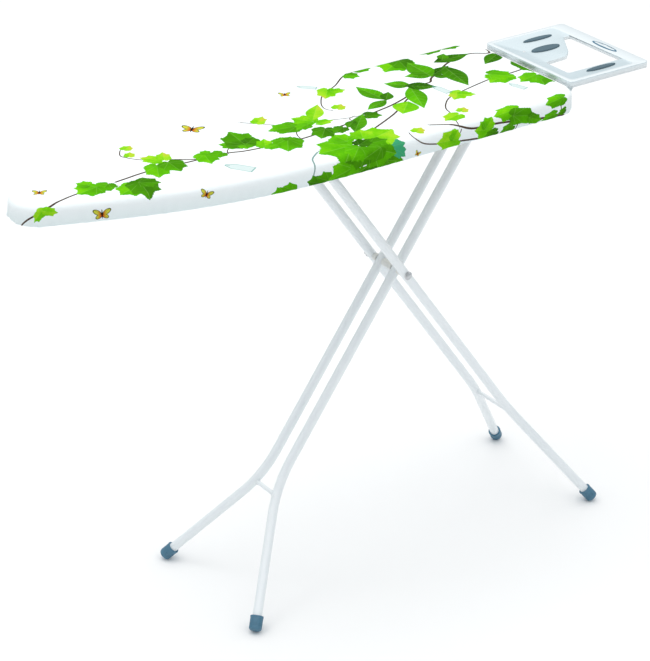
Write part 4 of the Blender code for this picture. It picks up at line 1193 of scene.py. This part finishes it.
def makeMeshTop():
    # expanded steel: a lattice of diamonds cut to the board, inside a flat border
    low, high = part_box("mesh_top")
    level = (low[2] + high[2]) / 2
    bm = bmesh.new()
    count = round((rearX - noseX) / meshTop["diamondLength"]) * 2
    bmesh.ops.create_grid(bm, x_segments=count, y_segments=count, size=0.5)
    reach = count * 0.5 ** 0.5
    stretch = Matrix.Diagonal((meshTop["diamondLength"] * reach, meshTop["diamondWidth"] * reach, 1, 1))
    middle = Matrix.Translation(((noseX + rearX) / 2, 0, level))
    bm.transform(middle @ stretch @ Matrix.Rotation(pi / 4, 4, "Z"))
    inset = low[0] - noseX + meshTop["border"] * 0.6
    point, normal = edgePoint(np.linspace(0, perimeter, 400, endpoint=False))
    border = point - normal * inset
    outside = []
    for vert in bm.verts:
        offset = border - (vert.co.x, vert.co.y)
        nearest = np.hypot(*offset.T).argmin()
        if offset[nearest] @ normal[nearest] < 0:
            outside.append(vert)
    bmesh.ops.delete(bm, geom=outside, context="VERTS")
    mesh = bpy.data.meshes.new("meshTop")
    bm.to_mesh(mesh)
    bm.free()
    mesh.materials.append(finishes["paint"])
    piece = placed("meshTop", mesh)
    wire = piece.modifiers.new("strands", "WIREFRAME")
    wire.thickness = meshTop["strand"]
    wire.use_even_offset = False
    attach(piece, "board")
    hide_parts("mesh_top")


def makeMeshBorder():
    low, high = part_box("mesh_top")
    inset = low[0] - noseX
    at = np.linspace(0, perimeter, 320, endpoint=False)
    point, normal = edgePoint(at)
    bm = bmesh.new()
    atLayer = bm.verts.layers.float.new("at")
    ring = [bm.verts.new((*place, high[2])) for place in point - normal * inset]
    rim = [bm.edges.new((ring[k - 1], ring[k])) for k in range(len(ring))]
    for vert, distance in zip(ring, at):
        vert[atLayer] = distance
    wide = inset + meshTop["border"]
    walled(bm, rim, atLayer, ((wide, high[2]), (wide, low[2]), (inset, low[2]), (inset, high[2])))
    keep("meshTopBorder", bm, "paint", "board")


makeMeshTop()
makeMeshBorder()
print("mesh top made")

rest = {
    "round": 0.0022,
    "corner": 0.009,
    "wall": 0.0015,
    "flange": 0.008,
    "window": ((0.030, -0.084), (0.163, -0.084), (0.163, 0.066), (0.146, 0.066), (0.104, 0.002),
               (0.086, -0.014), (0.030, -0.018)),
    "windowCorner": 0.006,
    "ridge": 0.030,
    "border": 0.0085,
    "step": 0.0011,
    "slope": 0.0022,
    "eye": (0.033, 0.049),
    "eyeRadius": 0.003,
}
badge = {
    "inset": 0.0185,
    "across": -0.0195,
    "rim": (0.0345, 0.0072, 0.0010),        # half length, half width and height
    "face": (0.0295, 0.0042, 0.0014),
}
restLow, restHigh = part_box("rest_tray")


def restRing(x0, x1, y, inset, height, steps):
    # a rectangle with round corners, the same on both sides of the middle line
    size = rest["corner"] - inset * 0.6
    x0, x1, y = x0 + inset + size, x1 - inset - size, y - inset - size
    ring = []
    for quarter, (x, across) in enumerate(((x1, y), (x0, y), (x0, -y), (x1, -y))):
        for k in range(steps + 1):
            turn = pi / 2 * (quarter + k / steps)
            ring.append(Vector((x + size * cos(turn), across + size * sin(turn), height)))
    return ring


def restOutline(inset, height):
    return restRing(restLow[0], restHigh[0], restHigh[1], inset, height, 8)


def restRecess(inset, height):
    # the sunk panel's edge, inside the border and short of the outer strip
    border = rest["border"]
    return restRing(restLow[0] + border, restHigh[0] - rest["ridge"], restHigh[1] - border, inset, height, 6)


def restWindow(outset, height, steps=6):
    corners = [(restLow[0] + along, across) for along, across in rest["window"]]
    ring = []
    for k, corner in enumerate(corners):
        here = Vector(corner)
        before = (here - Vector(corners[k - 1])).normalized()
        after = (Vector(corners[(k + 1) % len(corners)]) - here).normalized()
        normal = (Vector((before.y, -before.x)) + Vector((after.y, -after.x))).normalized()
        moved = here + normal * outset / normal.dot(Vector((before.y, -before.x)))
        enter, leave = moved - before * rest["windowCorner"], moved + after * rest["windowCorner"]
        for step in range(steps + 1):
            t = step / steps
            point = (1 - t) ** 2 * enter + 2 * t * (1 - t) * moved + t * t * leave
            ring.append(Vector((point.x, point.y, height)))
    return ring


def restEye(outset, height):
    # the hole that the board hangs by
    x, y = restLow[0] + rest["eye"][0], rest["eye"][1]
    size = rest["eyeRadius"] + outset * 0.4
    return [Vector((x + size * cos(turn), y + size * sin(turn), height)) for turn in
            (2 * pi * k / 24 for k in range(24))]


def drawn(bm, rings):
    # a strip of faces through rings that have the same number of corners
    first = [bm.verts.new(place) for place in rings[0]]
    start = [bm.edges.new((first[k - 1], first[k])) for k in range(len(first))]
    spot = bm.verts.layers.int["spot"]
    for k, vert in enumerate(first):
        vert[spot] = k
    edges = start
    for ring in rings[1:]:
        edges = pulled(bm, edges, lambda vert: ring[vert[spot]])
    return start, edges


def makeRest():
    top, bottom = restHigh[2], restLow[2]
    size, step, slope = rest["round"], rest["step"], rest["slope"]
    floor = top - step
    arc = [(size * (1 - sin(turn)), size * (1 - cos(turn))) for turn in (k * pi / 10 for k in range(6))]
    bm = bmesh.new()
    bm.verts.layers.int.new("spot")
    skirt = arc + [(0, top - bottom - 0.0002)]
    outer, _ = drawn(bm, [restOutline(inset, top - fall) for inset, fall in skirt])
    # an easy step down from the border to the sunk panel
    ease = [(slope * share, step * (0.5 - 0.5 * cos(pi * share))) for share in (k / 6 for k in range(7))]
    border, panel = drawn(bm, [restRecess(inset, top - fall) for inset, fall in ease])
    walls = arc + [(0, rest["flange"] - step)]
    hole, _ = drawn(bm, [restWindow(outset, floor - fall) for outset, fall in walls])
    bmesh.ops.triangle_fill(bm, use_beauty=True, use_dissolve=False, edges=outer + border)
    eye, _ = drawn(bm, [restEye(outset, floor - fall * 0.4) for outset, fall in arc])
    bmesh.ops.triangle_fill(bm, use_beauty=True, use_dissolve=False, edges=panel + hole + eye)
    faceUp(bm, lambda face: face.calc_area())
    piece = keep("restTray", bm, "enamel", "board", ["rest_tray"], 40, tidy=False)
    thicken(piece, rest["wall"])


def ovalDisc(profile, half, place, segments):
    bm = turned(profile, (0, 0, 0), (0, 0, 1), segments)
    bm.transform(Matrix.Diagonal((*half, 1, 1)))
    bm.transform(Matrix.Translation(place))
    return bm


def makePads():
    # pads of silicone let into the tray, and a plain badge with a bright rim
    base = restHigh[2] - rest["step"]
    for node in ("rest_pad_far", "rest_pad_wide", "rest_pad_near"):
        low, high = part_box(node)
        half = (high[0] - low[0]) / 2, (high[1] - low[1]) / 2
        tall = high[2] - base
        profile = [(0, tall), (0.90, tall), (0.955, tall * 0.9), (0.99, tall * 0.7), (1.0, 0.0001),
                   (0, 0.0001)]
        bm = ovalDisc(profile, half, (*middleOf(low, high), base), 96)
        keep(camel(node), bm, "silicone", "board", [node], 60)
    place = (restHigh[0] - badge["inset"], badge["across"], restHigh[2])
    for name, finish in (("rim", "slate"), ("face", "enamel")):
        long, wide, tall = badge[name]
        profile = [(0, tall), (0.93, tall), (0.985, tall * 0.7), (1.0, 0.0001), (0, 0.0001)]
        bm = ovalDisc(profile, (wide, long), place, 72)
        keep(f"badge{name.title()}", bm, finish, "board", (), 60)


makeRest()
makePads()
print("iron rest made")


fasteners = {
    "shank": 0.002,
    "heads": {"screw_1": 0.0022, "screw_2": 0.0022, "screw_3": 0.0022, "screw_4": 0.0022,
              "rivet_near": 0.0018, "rivet_far": 0.0018},
    "tips": {"screw": 0.0008, "rivet": 0.0},
}


def makeFasteners():
    # pan head screws and domed rivets under the rest
    shank = fasteners["shank"]
    for kind, tall in fasteners["heads"].items():
        node = f"rest_{kind}"
        low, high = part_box(node)
        length = high[2] - low[2]
        profile = dome((high[0] - low[0]) / 2, 0, tall, 6)
        profile += [(shank, tall), (shank, length - fasteners["tips"][kind.split("_")[0]]), (0, length)]
        bm = turned(profile, (*middleOf(low, high), low[2]), (0, 0, 1), 32)
        keep(camel(node), bm, "zinc", "board", [node])


lever = {
    "shaft": 0.004,
    "reach": 0.152,             # shaft to the grip
    "drop": 0.0305,
    "gripWidth": 0.0235,
    "gripHeight": 0.0124,
    "gripShift": 0.00375,
    "gripRound": 0.0028,
    "ridges": 4,
    "ridgeDepth": 0.0016,
    "wire": 0.0006,
    "turns": 6,
    "springGap": 0.0008,
    "springLeg": 0.012,
    "springStand": 0.004,
}


def makeLever():
    pivot = Vector(joints["height_lever"]["pos_m"])
    squeeze = radians(joints["height_lever"]["range_deg"][1])
    squeezed = Matrix.Translation(pivot) @ Matrix.Rotation(-squeeze, 4, "X")
    low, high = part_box("lever_shaft")
    radius, length = lever["shaft"], high[0] - low[0]
    profile = rounded([(0, 0, 0), (radius, 0, 0.0006), (radius, length, 0.0006), (0, length, 0)])
    bm = turned(profile, (low[0], pivot.y, pivot.z), (1, 0, 0))
    keep("leverShaft", bm, "zinc", "height_lever", ["lever_shaft"])
    # grip: a bar with finger ridges
    low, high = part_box("lever_grip")
    length = high[0] - low[0]
    bm = bmesh.new()
    bmesh.ops.create_cube(bm, size=1)
    bm.transform(Matrix.Diagonal((length, lever["gripWidth"], lever["gripHeight"], 1)))
    longEdges = [line for line in bm.edges if abs(line.verts[0].co.x - line.verts[1].co.x) > length / 2]
    bmesh.ops.subdivide_edges(bm, edges=longEdges, cuts=27, use_grid_fill=True)
    for vert in bm.verts:
        wave = 0.5 - 0.5 * cos(2 * pi * (vert.co.x / length + 0.5) * lever["ridges"])
        if abs(vert.co.x) < length * 0.47 and vert.co.y > 0:
            vert.co.y -= lever["ridgeDepth"] * wave
    eased(bm, creases(bm, 60), lever["gripRound"], 4)
    place = ((low[0] + high[0]) / 2 - pivot.x, lever["gripShift"] - lever["reach"], -lever["drop"])
    bm.transform(squeezed @ Matrix.Translation(place))
    keep("leverGrip", bm, "slate", "height_lever", ["lever_grip"], 50)
    # torsion spring round the shaft
    wire, perTurn = lever["wire"], 20
    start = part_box("lever_spring")[0][0] + wire
    coil = radius + lever["springGap"] + wire
    pitch = 3 * wire
    path = [(start, pivot.y + coil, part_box("mesh_top")[0][2] - lever["springStand"])]
    for k in range(lever["turns"] * perTurn + 1):
        turn = 2 * pi * k / perTurn
        path.append((start + pitch * k / perTurn, pivot.y + coil * cos(turn), pivot.z + coil * sin(turn)))
    path.append((path[-1][0], path[-1][1], path[-1][2] - lever["springLeg"]))
    keep("leverSpring", swept(path, wire, 8), "zinc", "board", ["lever_spring"], 60)


makeFasteners()
makeLever()
print("fasteners and lever made")

for name, node in frame["nodes"].items():
    if not node.hide_render:
        print("CAD node still shown:", name)
